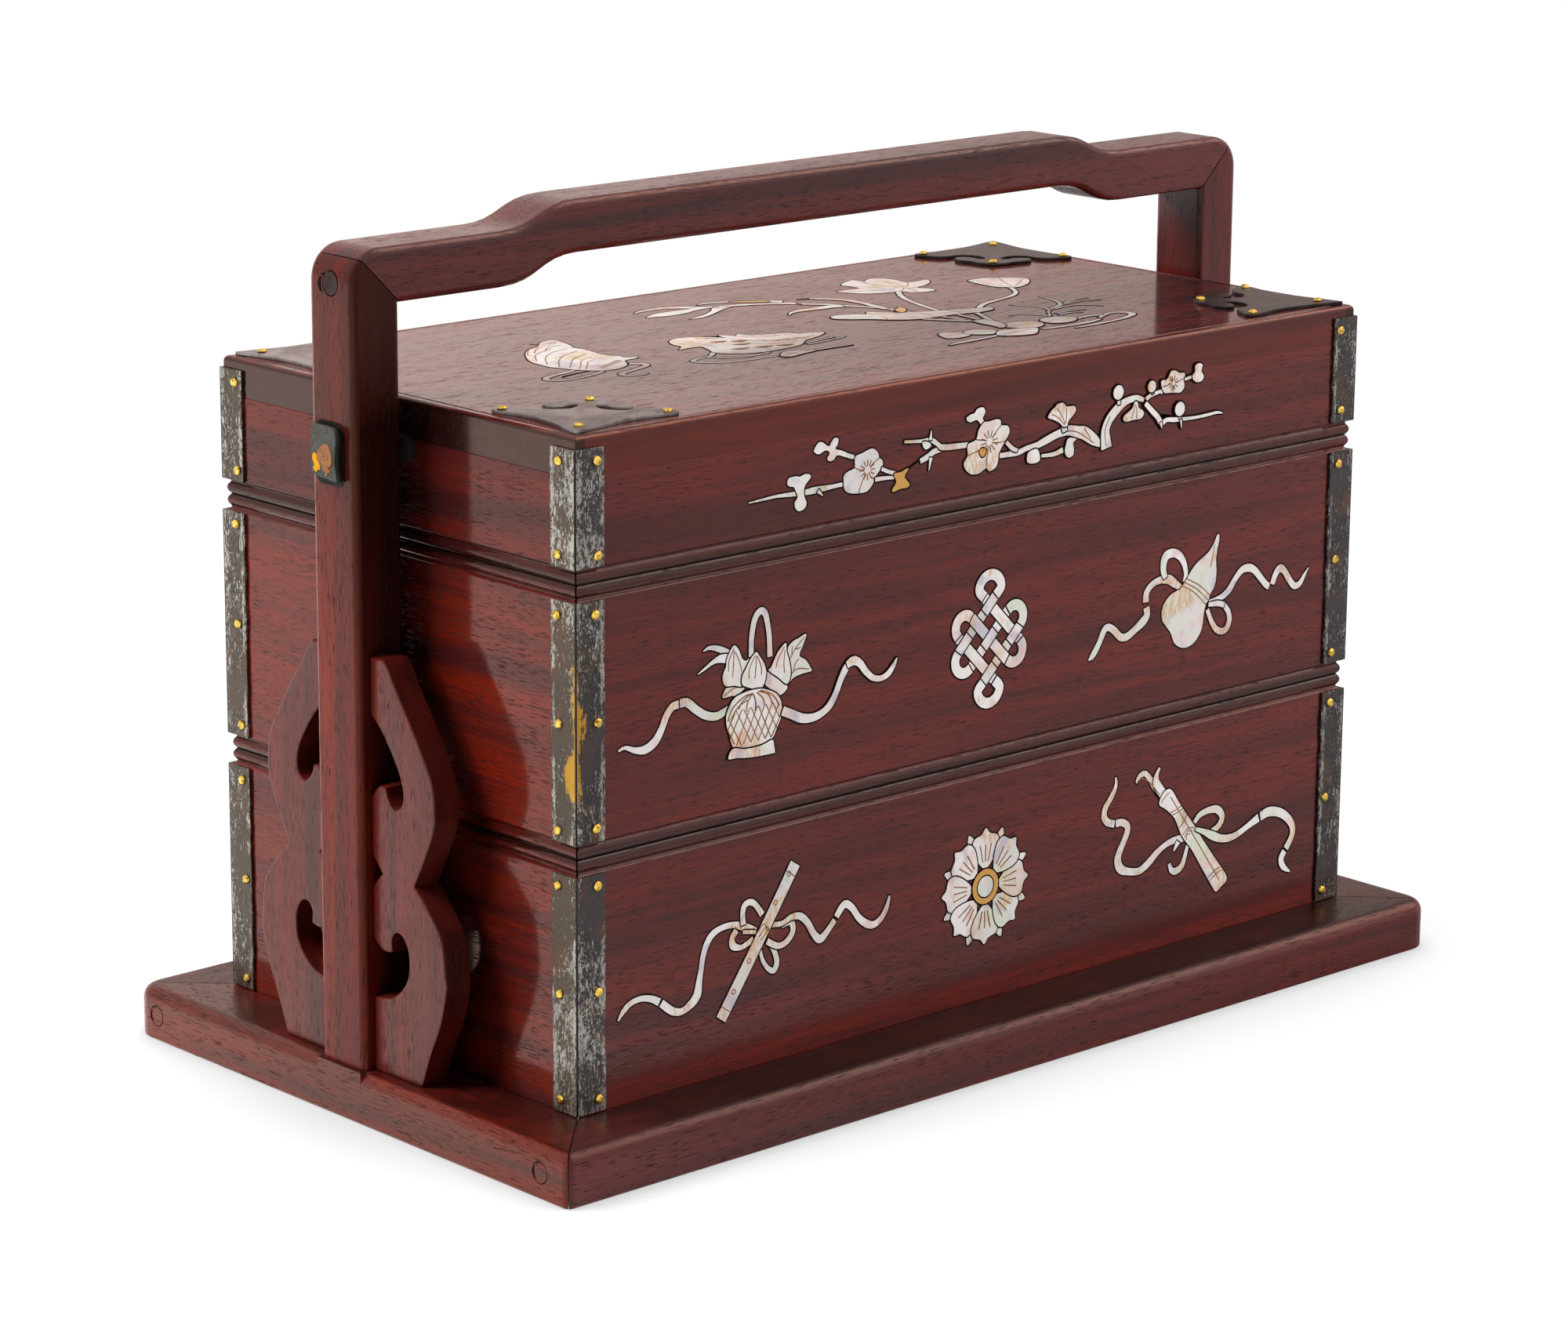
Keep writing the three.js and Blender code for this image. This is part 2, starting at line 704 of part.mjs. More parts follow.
function makeLid() {
  const lid = new THREE.Group();
  const profile = wallProfile(lidWallHeight, true, false, false);
  const board = (side) => mitredMoulding(profile, side.span);
  lid.add(...rectangularFrame('lid', 'board', tierLength, tierDepth, rosewood, board));

  const top = piece('lid_top_board', lidTopGeometry(), rosewood);
  top.position.z = lidWallHeight;
  lid.add(top);

  const strap = strapGeometry(beadSpan, lidHeight - strapTopMargin, 2);
  lid.add(...fourCorners('lid_strap', tierLength, tierDepth, strap, patinatedMetal, 0));
  const plate = plateGeometry();
  lid.add(...fourCorners('lid_corner_plate', tierLength, tierDepth, plate, patinatedMetal, lidHeight));

  const socket = socketGeometry();
  for (const [name, side] of [['left', -1], ['right', 1]]) {
    const mesh = piece(`lid_socket_${name}`, socket, pinMetal);
    mesh.position.set(side * tierLength / 2, 0, pinRise);
    mesh.rotation.z = side < 0 ? 0 : Math.PI;
    lid.add(mesh);
  }
  return lid;
}

// Locking pin, drawn for the left end: it points along +x from the face of the upright
function pinGeometry() {
  const halfWidth = pinHeadWidth / 2;
  const halfHeight = pinHeadHeight / 2;
  const head = polygon([
    [-halfHeight + pinHeadTrim, -halfWidth],
    [halfHeight - pinHeadTrim, -halfWidth],
    [halfHeight, -halfWidth + pinHeadTrim],
    [halfHeight, halfWidth - pinHeadTrim],
    [halfHeight - pinHeadTrim, halfWidth],
    [-halfHeight + pinHeadTrim, halfWidth],
    [-halfHeight, halfWidth - pinHeadTrim],
    [-halfHeight, -halfWidth + pinHeadTrim],
  ]);
  const plate = prism(head, pinHeadThickness).rotateY(-Math.PI / 2);
  plate.translate(-pinHeadGap, pinHeadOffset, 0);
  const tip = pinLength;
  const root = -pinHeadGap - pinHeadThickness / 2;
  const shank = new THREE.LatheGeometry([
    new THREE.Vector2(0, root),
    new THREE.Vector2(pinRadius, root),
    new THREE.Vector2(pinRadius, tip - pinTipChamfer),
    new THREE.Vector2(pinRadius - pinTipChamfer, tip),
    new THREE.Vector2(0, tip),
  ], boreSegments);
  shank.rotateZ(-Math.PI / 2);
  return geometryOf(solidOf(plate).add(solidOf(shank)));
}

function makePins() {
  const pins = new THREE.Group();
  const geometry = pinGeometry();
  for (const [name, side] of [['left', -1], ['right', 1]]) {
    const pin = piece(`locking_pin_${name}`, geometry, pinMetal);
    pin.position.set(side * uprightOuter, 0, lidSeat + pinRise);
    pin.rotation.z = side < 0 ? 0 : Math.PI;
    pins.add(pin);
  }
  return pins;
}

// Assembly
const picnicBox = new THREE.Group();
picnicBox.add(makeBase());
picnicBox.add(makeFrame());

const bottomTier = makeTier('bottom_tier', false, rebateDepth + strapFootGap);
bottomTier.position.z = rebateFloor;
picnicBox.add(bottomTier);

const middleTier = makeTier('middle_tier', true, beadSpan);
middleTier.position.z = middleSeat;
picnicBox.add(middleTier);

const lid = makeLid();
lid.position.z = lidSeat;
picnicBox.add(lid);

picnicBox.add(makePins());

export default picnicBox;
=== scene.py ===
import json
import math
import random
from contextlib import contextmanager

import bmesh
import bpy
from mathutils import Matrix, Vector

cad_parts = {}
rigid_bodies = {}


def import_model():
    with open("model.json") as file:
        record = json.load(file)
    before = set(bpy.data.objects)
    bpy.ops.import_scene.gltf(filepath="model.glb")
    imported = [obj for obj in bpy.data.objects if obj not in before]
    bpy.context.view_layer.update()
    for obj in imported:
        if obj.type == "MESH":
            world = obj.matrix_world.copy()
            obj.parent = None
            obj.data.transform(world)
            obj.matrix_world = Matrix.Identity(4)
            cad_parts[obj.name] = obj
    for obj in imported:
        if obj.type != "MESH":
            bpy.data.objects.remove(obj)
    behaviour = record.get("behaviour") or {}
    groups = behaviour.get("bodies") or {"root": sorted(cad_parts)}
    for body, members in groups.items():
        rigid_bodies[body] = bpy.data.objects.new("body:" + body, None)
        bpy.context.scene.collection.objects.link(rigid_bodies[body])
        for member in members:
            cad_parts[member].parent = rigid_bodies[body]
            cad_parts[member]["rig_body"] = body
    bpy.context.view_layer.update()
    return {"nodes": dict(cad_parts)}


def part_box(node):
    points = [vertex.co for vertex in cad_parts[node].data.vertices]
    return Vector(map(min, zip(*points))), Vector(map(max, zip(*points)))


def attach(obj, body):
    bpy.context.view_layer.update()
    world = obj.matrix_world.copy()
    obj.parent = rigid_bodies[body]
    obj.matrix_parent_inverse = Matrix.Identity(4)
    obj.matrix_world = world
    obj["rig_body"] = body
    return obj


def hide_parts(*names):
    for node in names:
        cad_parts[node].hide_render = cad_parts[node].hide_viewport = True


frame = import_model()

bl_info = {
    "name": "Inlaid picnic box",
    "version": (1, 0, 0),
    "blender": (4, 5, 0),
    "location": "3D View > Sidebar > Picnic box",
    "description": "Dresses a rosewood picnic box with its wood, metal mounts and shell inlay",
    "category": "Object",
}

MM = 0.001
SIDES = {"left": -1, "right": 1}
FACES = {"front": -1, "back": 1}
TIERS = ("bottom_tier", "middle_tier")
WHITE = (1, 1, 1, 1)
# Corners of a CAD mesh nearer than this, in metres, are one
WELD = 2e-6


def linear(hex_colour, alpha=True):
    """An sRGB hex colour as linear values"""
    parts = [int(hex_colour[i:i + 2], 16) / 255 for i in (1, 3, 5)]
    values = [c / 12.92 if c <= 0.04045 else ((c + 0.055) / 1.055) ** 2.4 for c in parts]
    return values + [1.0] if alpha else values


def colour_setting(name, hex_colour, description):
    return bpy.props.FloatVectorProperty(
        name=name, description=description, default=linear(hex_colour, alpha=False),
        size=3, min=0, max=1, subtype="COLOR",
    )


def number_setting(name, default, description, **options):
    options = {"min": 0, **options}
    return bpy.props.FloatProperty(name=name, description=description, default=default, **options)


def length_setting(name, millimetres, description):
    return number_setting(name, millimetres * MM, description, unit="LENGTH", subtype="DISTANCE")


# Settings

class RosewoodSettings(bpy.types.PropertyGroup):
    heart: colour_setting("Heartwood", "#6b2219", "Red brown of the wood between its bands")
    warm_heart: colour_setting("Warm heartwood", "#7c1f0b", "Orange brown of the end boards and posts")
    band: colour_setting("Dark bands", "#3f1718", "Purple brown of the slow growth bands")
    pore: colour_setting("Pores", "#1c0a09", "Near black of the open pores")
    eased_edge: length_setting("Eased edge", 0.3, "Worn radius on sharp edges of the boards")
    frame_edge: length_setting("Frame edge", 0.1, "Eased edge of the frame's mitred rails and posts")
    bead_edge: length_setting("Bracket edge", 0.7, "Rounding of the sawn edges of the brackets")


class MetalSettings(bpy.types.PropertyGroup):
    patina: colour_setting("Patina", "#493c2e", "Grey brown tarnish of the straps")
    bare: colour_setting("Bare metal", "#bab6ad", "Pale metal where the tarnish is rubbed away")
    plate: colour_setting("Corner plates", "#a09998", "Brown patina of the lid's corner plates")
    brass: colour_setting("Brass", "#f2c95e", "Yellow brass of the nails")
    wax: colour_setting("Old wax", "#c8941a", "Yellow wax left on a strap and a pin")
    nail_radius: length_setting("Nail radius", 1.45, "Radius of a nail's head")
    nail_rise: length_setting("Nail rise", 1.0, "Height of a nail's head above its metal")


class InlaySettings(bpy.types.PropertyGroup):
    shell: colour_setting("Shell", "#f3ecea", "Cream white ground of the mother-of-pearl")
    amber: colour_setting("Amber", "#cf9a4e", "Amber pieces and growth lines of the shell")
    mastic: colour_setting("Mastic", "#0d0606", "Dark glue line round each piece of shell")
    glue_line: length_setting("Glue line", 0.4, "Width of the dark line round the shell")
    cut_line: length_setting("Cut line", 0.36, "Width of the brown lines cut in the shell")
    step: length_setting("Step", 0.004, "Rise of each piece over the one laid before it")


class StageSettings(bpy.types.PropertyGroup):
    lens: number_setting("Lens", 109.49, "Focal length of the camera in mm", min=10, unit="CAMERA")
    key_power: number_setting("Key light", 59, "Power of the large lamp at the left", unit="POWER")
    fill_power: number_setting("Fill light", 44, "Power of the lamp at the right", unit="POWER")
    room_light: number_setting("Room light", 0.035, "Strength of the even light of the white room")
    soft_box: number_setting("Soft box", 3.4, "Strength of the soft box that the polish mirrors")


SETTINGS = {
    "box_rosewood": RosewoodSettings,
    "box_metal": MetalSettings,
    "box_inlay": InlaySettings,
    "box_stage": StageSettings,
}


# Helpers for materials

def feed(tree, made, inputs):
    """Links a node's inputs to the sockets given for them, and sets those given as values"""
    for name, value in inputs.items():
        socket = made.inputs[name]
        if isinstance(value, bpy.types.NodeSocket):
            tree.links.new(value, socket)
        else:
            socket.default_value = value


def node(tree, kind, inputs=None, **settings):
    """Adds one shader node with its settings and its inputs"""
    made = tree.nodes.new(f"ShaderNode{kind}")
    for name, value in settings.items():
        setattr(made, name, value)
    feed(tree, made, inputs or {})
    return made


def new_material(name, **shader):
    """A material with its shader's constants set, its node tree, shader and Object coordinates"""
    material = bpy.data.materials.new(name)
    material.use_nodes = True
    tree = material.node_tree
    principled = tree.nodes["Principled BSDF"]
    for key, value in shader.items():
        principled.inputs[key.replace("_", " ")].default_value = value
    return material, tree, principled, node(tree, "TexCoord").outputs["Object"]


def shared(make, scene):
    """The material that a function makes, made only once for all the steps"""
    name = make.__name__
    if name not in scene:
        scene[name] = make(scene).name
    return bpy.data.materials[scene[name]]


def looks(tree):
    """Which rays look at a surface, and which of these come by way of a mirroring polish"""
    path = node(tree, "LightPath").outputs
    mirrored = path["Is Glossy Ray"]
    return sum_of(tree, path["Is Camera Ray"], mirrored, path["Is Transmission Ray"]), mirrored


def noise(tree, coords, size, detail=2.0, roughness=0.5, distortion=0.0, offset=0.0):
    """Noise whose lumps have the given size in millimetres, one length or one for each axis"""
    sizes = size if isinstance(size, tuple) else (size, size, size)
    placed = node(tree, "Mapping", {
        "Vector": coords, "Scale": tuple(1 / (s * MM) for s in sizes),
        "Location": (offset, offset * 0.7, offset * 1.3),
    })
    return node(tree, "TexNoise", {
        "Vector": placed.outputs["Vector"], "Scale": 1.0, "Detail": detail,
        "Roughness": roughness, "Distortion": distortion,
    }).outputs["Fac"]


def mask(tree, value, low, high, bottom=0.0, top=1.0):
    """Smooth step of a value from low to high"""
    return node(tree, "MapRange", {
        "Value": value, "From Min": low, "From Max": high, "To Min": bottom, "To Max": top,
    }, interpolation_type="SMOOTHSTEP").outputs["Result"]


def sum_of(tree, *values, operation="ADD"):
    total = values[0]
    for value in values[1:]:
        total = node(tree, "Math", {0: total, 1: value}, operation=operation).outputs[0]
    return total


def product(tree, *values):
    return sum_of(tree, *values, operation="MULTIPLY")


def mixed(tree, factor, first, second):
    """Colour mix; the sockets 6 and 7 are the colours of the Mix node"""
    return node(tree, "Mix", {0: factor, 6: first, 7: second}, data_type="RGBA").outputs[2]


def raised(tree, height, depth):
    """Bump from a height of 0 to 1 that stands for the given depth in millimetres"""
    bump = node(tree, "Bump", {"Height": height, "Distance": depth * MM, "Strength": 1.0})
    return bump.outputs["Normal"]


def distance(tree, value, place=0.0):
    """How far a coordinate is from a place, in metres"""
    return node(tree, "Math", {0: sum_of(tree, value, -place)}, operation="ABSOLUTE").outputs[0]


def rgba(colour):
    return (*colour, 1.0)


def along_grain(axis, along, across):
    return tuple(along if letter == axis else across for letter in "XYZ")


# Materials

def waxed_rosewood(scene, name, axis, seed=0, warmth=0.0, shade=0.0, polish=0.2, gloss=1.45,
                   veil="#ffffff", depth=0.012, pored=0.8, dirt_and_shade=None):
    """Rosewood, planed and waxed: red brown with purple bands and short dark pores along
    the grain, and a soft wax gloss that lays a pale veil on it; the last argument adds
    grime and painted shade"""
    wood = scene.box_rosewood
    material, tree, shader, coords = new_material(name, IOR=gloss, Specular_Tint=linear(veil))
    # Growth bands are some 8 mm wide here and run for a hand's length
    bands = noise(tree, coords, along_grain(axis, 210, 8), 3, 0.5, 0.4, offset=seed * 3.1)
    streaks = noise(tree, coords, along_grain(axis, 26, 0.6), 3, 0.6, offset=seed)
    pores = noise(tree, coords, along_grain(axis, 4.5, 0.32), 1, 0.5)
    crowds = noise(tree, coords, along_grain(axis, 30, 4), 2, 0.5, 0, offset=7 + seed)
    heart = mixed(tree, warmth, rgba(wood.heart), rgba(wood.warm_heart))
    ground = mixed(tree, mask(tree, bands, 0.38, 0.68, shade, 0.75 + shade), heart, rgba(wood.band))
    streaked = mixed(tree, mask(tree, streaks, 0.42, 0.66, 0, 0.5), ground, rgba(wood.band))
    pore = mask(tree, sum_of(tree, pores, mask(tree, crowds, 0.35, 0.65, -0.04, 0.03)), 0.58, 0.65)
    coloured = mixed(tree, product(tree, pore, pored), streaked, rgba(wood.pore))
    # Grime and painted shade, drawn towards the colour of the pores
    if dirt_and_shade:
        coloured = mixed(tree, dirt_and_shade(tree, coords), coloured, rgba(wood.pore))
    smears = noise(tree, coords, 40, 3, 0.6, 0.4, offset=3)
    roughness = sum_of(tree, mask(tree, smears, 0.3, 0.7, polish, polish * 1.3),
                       mask(tree, pore, 0, 1, 0, 0.35))
    filled = sum_of(tree, 1.0, pore, operation="SUBTRACT")
    feed(tree, shader, {
        "Base Color": coloured, "Roughness": roughness, "Normal": raised(tree, filled, depth),
    })
    return material


def dirt_of_seams(tree, coords):
    """Painted shade in the moulding where one tier meets the next, darkest at the joint line"""
    up = node(tree, "SeparateXYZ", {"Vector": coords}).outputs["Z"]
    levels = [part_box(f"{tier}_front_board")[0].z for tier in ("middle_tier", "lid")]
    strips = ((5.5, 3.5, 0.55), (1.4, 0.8, 0.4))
    return sum_of(tree, *(mask(tree, distance(tree, up, level), outer * MM, inner * MM, 0, strength)
                          for level in levels for outer, inner, strength in strips))


def dirt_of_uprights(tree, coords):
    """Painted shade on the left upright: darker towards the box that shades it and on its
    front face, and darker from the pin up
    """
    low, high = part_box("left_upright")
    place = node(tree, "SeparateXYZ", {"Vector": coords}).outputs
    # Painted shade: darker towards the box, which shades this side of the upright
    inward = mask(tree, place["X"], low.x + 0.8 * MM, high.x - 6 * MM, 0, 0.93)
    upward = mask(tree, place["Z"], high.z - 130 * MM, high.z - 50 * MM, 0, 0.36)
    forward = mask(tree, place["Y"], -MM, low.y + 2 * MM, 0, 1)
    # Painted shade on the front face, which the box keeps from the light, and darker from the pin up
    darkened = sum_of(tree, upward, product(tree, forward, sum_of(tree, upward, 0.1)))
    darker = sum_of(tree, inward, darkened, operation="MAXIMUM")
    return product(tree, darker, mask(tree, place["X"], 0, MM, 1, 0))


def dirt_of_lid_ends(tree, coords):
    """Painted shade: the moulded ends of the lid's top board are darker than its top"""
    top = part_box("lid_top_board")[1]
    place = node(tree, "SeparateXYZ", {"Vector": coords}).outputs
    lower = mask(tree, place["Z"], top.z - 0.3 * MM, top.z - 0.8 * MM, 0, 0.95)
    outer = mask(tree, distance(tree, place["X"]), top.x - 4 * MM, top.x - 3 * MM)
    return product(tree, lower, outer)


def dirt_of_base(tree, coords):
    """Grime and painted shade on the top of the base beside the box, in blotches"""
    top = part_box("base_left_rail")[1].z
    blotches = noise(tree, coords, 14, 3, 0.6, 0.5, offset=12)
    up = node(tree, "SeparateXYZ", {"Vector": coords}).outputs["Z"]
    return product(tree, mask(tree, up, top - 0.6 * MM, top - 0.2 * MM),
                   mask(tree, blotches, 0.3, 0.6, 0.35, 0.75))


def end_grain_rosewood(scene):
    """Rosewood dowel cut across: darker and duller than the boards, with dots for pores"""
    wood = scene.box_rosewood
    material, tree, shader, coords = new_material("End grain rosewood", IOR=1.3)
    dots = noise(tree, coords, 0.6, 2)
    rings = noise(tree, coords, (8, 2, 3), 2)
    ground = mixed(tree, mask(tree, rings, 0.35, 0.7), linear("#2c211e"), linear("#3a2a24"))
    feed(tree, shader, {
        "Base Color": mixed(tree, mask(tree, dots, 0.55, 0.7), ground, rgba(wood.pore)),
        "Roughness": mask(tree, rings, 0.3, 0.7, 0.45, 0.65),
        "Normal": raised(tree, dots, 0.05),
    })
    return material


def tarnished_white_brass(scene):
    """White brass sheet, hand cut and tarnished: grey brown with pale rubbed flecks, rust
    brown clouds, a dark line along the fold and pale worn edges"""
    metal = scene.box_metal
    material, tree, shader, coords = new_material("Tarnished white brass", Metallic=1.0)
    fine = noise(tree, coords, (0.6, 0.6, 0.9), 4, 0.7, 0.6)
    scratch = noise(tree, coords, (0.7, 0.7, 2.6), 3, 0.6, 0.5, offset=3)
    clouds = noise(tree, coords, 15, 3, 0.6, 0.5, offset=5)
    rust = noise(tree, coords, 9, 3, 0.6, 0.4, offset=11)
    place = node(tree, "SeparateXYZ", {"Vector": coords}).outputs
    up = place["Z"]
    # Zero at the fold and falling away from it along a leg, from the size of the tiers
    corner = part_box("bottom_tier_strap_back_right")[1]
    half_length, half_depth = corner.x - metal.nail_rise, corner.y - metal.nail_rise
    across = distance(tree, place["X"])
    fold = sum_of(tree, across, distance(tree, place["Y"]), -(half_length + half_depth))
    crease = mask(tree, fold, -0.55 * MM, -0.35 * MM)
    rim = mask(tree, fold, -8.9 * MM, -10.3 * MM)
    inner = mask(tree, fold, -3.2 * MM, -1.2 * MM, 0, 0.05)
    # The front left corner is the most rubbed, at the lid and near the base
    half_way_up = 105 * MM
    handled = product(tree, mask(tree, place["X"], -half_length + 20 * MM, -half_length + 15 * MM),
                      mask(tree, place["Y"], -half_depth + 20 * MM, -half_depth + 15 * MM),
                      mask(tree, distance(tree, up, half_way_up), 35 * MM, 55 * MM, 0, 0.07))
    worn = sum_of(tree, mask(tree, rim, 0, 1, 0, 0.05), inner, handled,
                  mask(tree, clouds, 0.35, 0.65, -0.06, 0.05))
    # Bare metal shows as a ragged pale line beside the outer edge of each leg
    edge = sum_of(tree, fold, product(tree, scratch, 3 * MM))
    line = product(tree, mask(tree, edge, -8.3 * MM, -8.1 * MM), mask(tree, edge, -7.3 * MM, -7.6 * MM),
                   mask(tree, clouds, 0.44, 0.54), mask(tree, fine, 0.4, 0.48))
    bared = sum_of(tree, mask(tree, sum_of(tree, fine, worn), 0.6, 0.7),
                   mask(tree, sum_of(tree, scratch, worn), 0.6, 0.7), line, operation="MAXIMUM")
    # The legs on the ends are olive brown, those on the long sides nearly black
    end_leg = mask(tree, across, half_length - MM, half_length - 0.5 * MM)
    dark = mixed(tree, end_leg, linear("#272324"), linear("#3a2e22"))
    pale = mixed(tree, end_leg, linear("#3d3637"), rgba(metal.patina))
    ground = mixed(tree, mask(tree, clouds, 0.35, 0.65), pale, dark)
    browned = mixed(tree, mask(tree, rust, 0.5, 0.68, 0, 0.8), ground, linear("#563c28"))
    flecked = mixed(tree, product(tree, bared, 0.8), browned, rgba(metal.bare))
    # Yellow wax run down the fold of the middle strap at the front left corner
    low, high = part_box("middle_tier_strap_front_left")
    height = high.z - low.z

    def gathered(leg, lower, upper, reach):
        """How far the wax reaches on a leg, in millimetres, between two shares of the height"""
        bottom, top = low.z + lower * height, low.z + upper * height
        fade = 0.05 * height
        return product(tree, leg, mask(tree, up, bottom - fade, bottom + fade, 0, reach * MM),
                       mask(tree, up, top + fade, top - fade))

    long_leg = sum_of(tree, 1.0, end_leg, operation="SUBTRACT")
    reach = sum_of(tree, gathered(end_leg, 0.19, 0.36, 5), gathered(end_leg, 0.36, 0.76, 1.5),
                   gathered(long_leg, 0.18, 0.35, 1.9), gathered(long_leg, 0.41, 0.59, 3))
    ragged = noise(tree, coords, (1.3, 1.3, 4), 5, 0.75, 0.8, offset=8)
    run = sum_of(tree, fold, reach, product(tree, ragged, 10 * MM))
    wax = product(tree, mask(tree, place["X"], 0, -MM), mask(tree, place["Y"], 0, -MM),
                  mask(tree, up, low.z + 9 * MM, low.z + 12 * MM),
                  mask(tree, up, high.z - 14 * MM, high.z - 20 * MM),
                  mask(tree, run, 5.2 * MM, 5.6 * MM))
    waxed = mixed(tree, product(tree, wax, 0.85), flecked, rgba(metal.wax))
    bare = sum_of(tree, bared, wax, operation="SUBTRACT")
    feed(tree, shader, {
        "Base Color": mixed(tree, crease, waxed, linear("#14100e")),
        "Roughness": mask(tree, fine, 0.35, 0.7, 0.5, 0.36),
        "Metallic": mask(tree, bare, 0, 1, 0.35, 0.8),
        "Normal": raised(tree, fine, 0.05),
    })
    return material


def brushed_brown_patina(scene):
    """Sheet metal, filed flat and patinated brown: darker than the straps, with fine file
    marks and paler rubbed places"""
    metal = scene.box_metal
    material, tree, shader, coords = new_material("Brushed brown patina", Metallic=0.85)
    marks = noise(tree, coords, (5, 0.4, 4), 3, 0.6)
    clouds = noise(tree, coords, 9, 3, 0.6, 0.3, offset=2)
    ground = mixed(tree, mask(tree, clouds, 0.35, 0.65), linear("#6a6262"), rgba(metal.plate))
    rubbed = mixed(tree, mask(tree, marks, 0.5, 0.8, 0, 0.3), ground, linear("#a79c98"))
    # Painted reflection: the plates darken towards the right end, where they mirror the darker right of
    # the room
    across = node(tree, "SeparateXYZ", {"Vector": coords}).outputs["X"]
    right = mask(tree, across, -60 * MM, 100 * MM, 0, 0.88)
    feed(tree, shader, {
        "Base Color": mixed(tree, right, rubbed, linear("#221c1b")),
        "Roughness": mask(tree, marks, 0.3, 0.7, 0.44, 0.3),
        "Normal": raised(tree, marks, 0.012),
    })
    return material


def pin_iron(scene):
    """Locking pin and its socket: dull dark grey with greenish, bluish and brown stains"""
    material, tree, shader, coords = new_material("Dull iron of the pins", Metallic=0.15, IOR=1.28)
    fine = noise(tree, coords, 0.8, 4, 0.7, 0.3)
    clouds = noise(tree, coords, 5, 3, 0.6, 0.5, offset=4)
    stains = noise(tree, coords, 3, 3, 0.6, 0.5, offset=14)
    ground = mixed(tree, mask(tree, clouds, 0.35, 0.65), linear("#4c463d"), linear("#5c5c55"))
    ground = mixed(tree, mask(tree, stains, 0.5, 0.65, 0, 0.6), ground, linear("#49525a"))
    ground = mixed(tree, mask(tree, fine, 0.45, 0.7, 0, 0.8), ground, linear("#2d2822"))
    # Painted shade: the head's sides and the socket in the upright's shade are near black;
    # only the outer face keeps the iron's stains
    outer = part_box("locking_pin_right")[1].x
    across = node(tree, "SeparateXYZ", {"Vector": coords}).outputs["X"]
    behind = mask(tree, distance(tree, across), outer - 0.9 * MM, outer - 1.6 * MM)
    feed(tree, shader, {
        "Base Color": mixed(tree, behind, ground, linear("#1a1613")),
        "Roughness": mask(tree, clouds, 0.3, 0.7, 0.5, 0.7),
        "Normal": raised(tree, fine, 0.12),
    })
    return material


def old_wax(scene):
    """Scab of old wax: bright yellow where fresh, orange brown and crumbly where rusty"""
    material, tree, shader, coords = new_material("Old yellow wax", IOR=1.45, Roughness=0.6)
    tone = node(tree, "Attribute", attribute_name="tone").outputs["Fac"]
    crumbs = noise(tree, coords, 0.7, 4, 0.8, 0.5)
    clots = noise(tree, coords, 2.2, 2, 0.5, 0.5, offset=5)
    rusty = mixed(tree, mask(tree, clots, 0.4, 0.6), linear("#a9622a"), linear("#8b6148"))
    rusty = mixed(tree, mask(tree, crumbs, 0.5, 0.62), rusty, linear("#c88a3e"))
    rusty = mixed(tree, mask(tree, crumbs, 0.45, 0.35), rusty, linear("#5a3a24"))
    fresh = mixed(tree, mask(tree, crumbs, 0.35, 0.55), linear("#d98a08"), linear("#ffb908"))
    feed(tree, shader, {
        "Base Color": mixed(tree, tone, rusty, fresh), "Normal": raised(tree, crumbs, 0.4),
    })
    return material


def polished_brass(scene):
    """Brass nail heads, struck and rubbed bright: pale yellow, with brown grime and painted
    shade in the dents and round the rim"""
    material, tree, shader, coords = new_material("Polished brass", Metallic=1.0)
    rim = node(tree, "Attribute", attribute_name="tone").outputs["Fac"]
    dents = noise(tree, coords, 0.9, 3, 0.6)
    # Grime and painted shade: brown in the dents and round the low rim of each head
    dirt_and_shade = sum_of(tree, mask(tree, dents, 0.52, 0.66, 0, 0.8), mask(tree, rim, 0.5, 0.9, 0, 0.95),
                  operation="MAXIMUM")
    feed(tree, shader, {
        "Base Color": mixed(tree, dirt_and_shade, rgba(scene.box_metal.brass), linear("#4a2c0c")),
        "Roughness": mask(tree, dents, 0.3, 0.7, 0.12, 0.3),
        "Normal": raised(tree, dents, 0.5),
    })
    return material


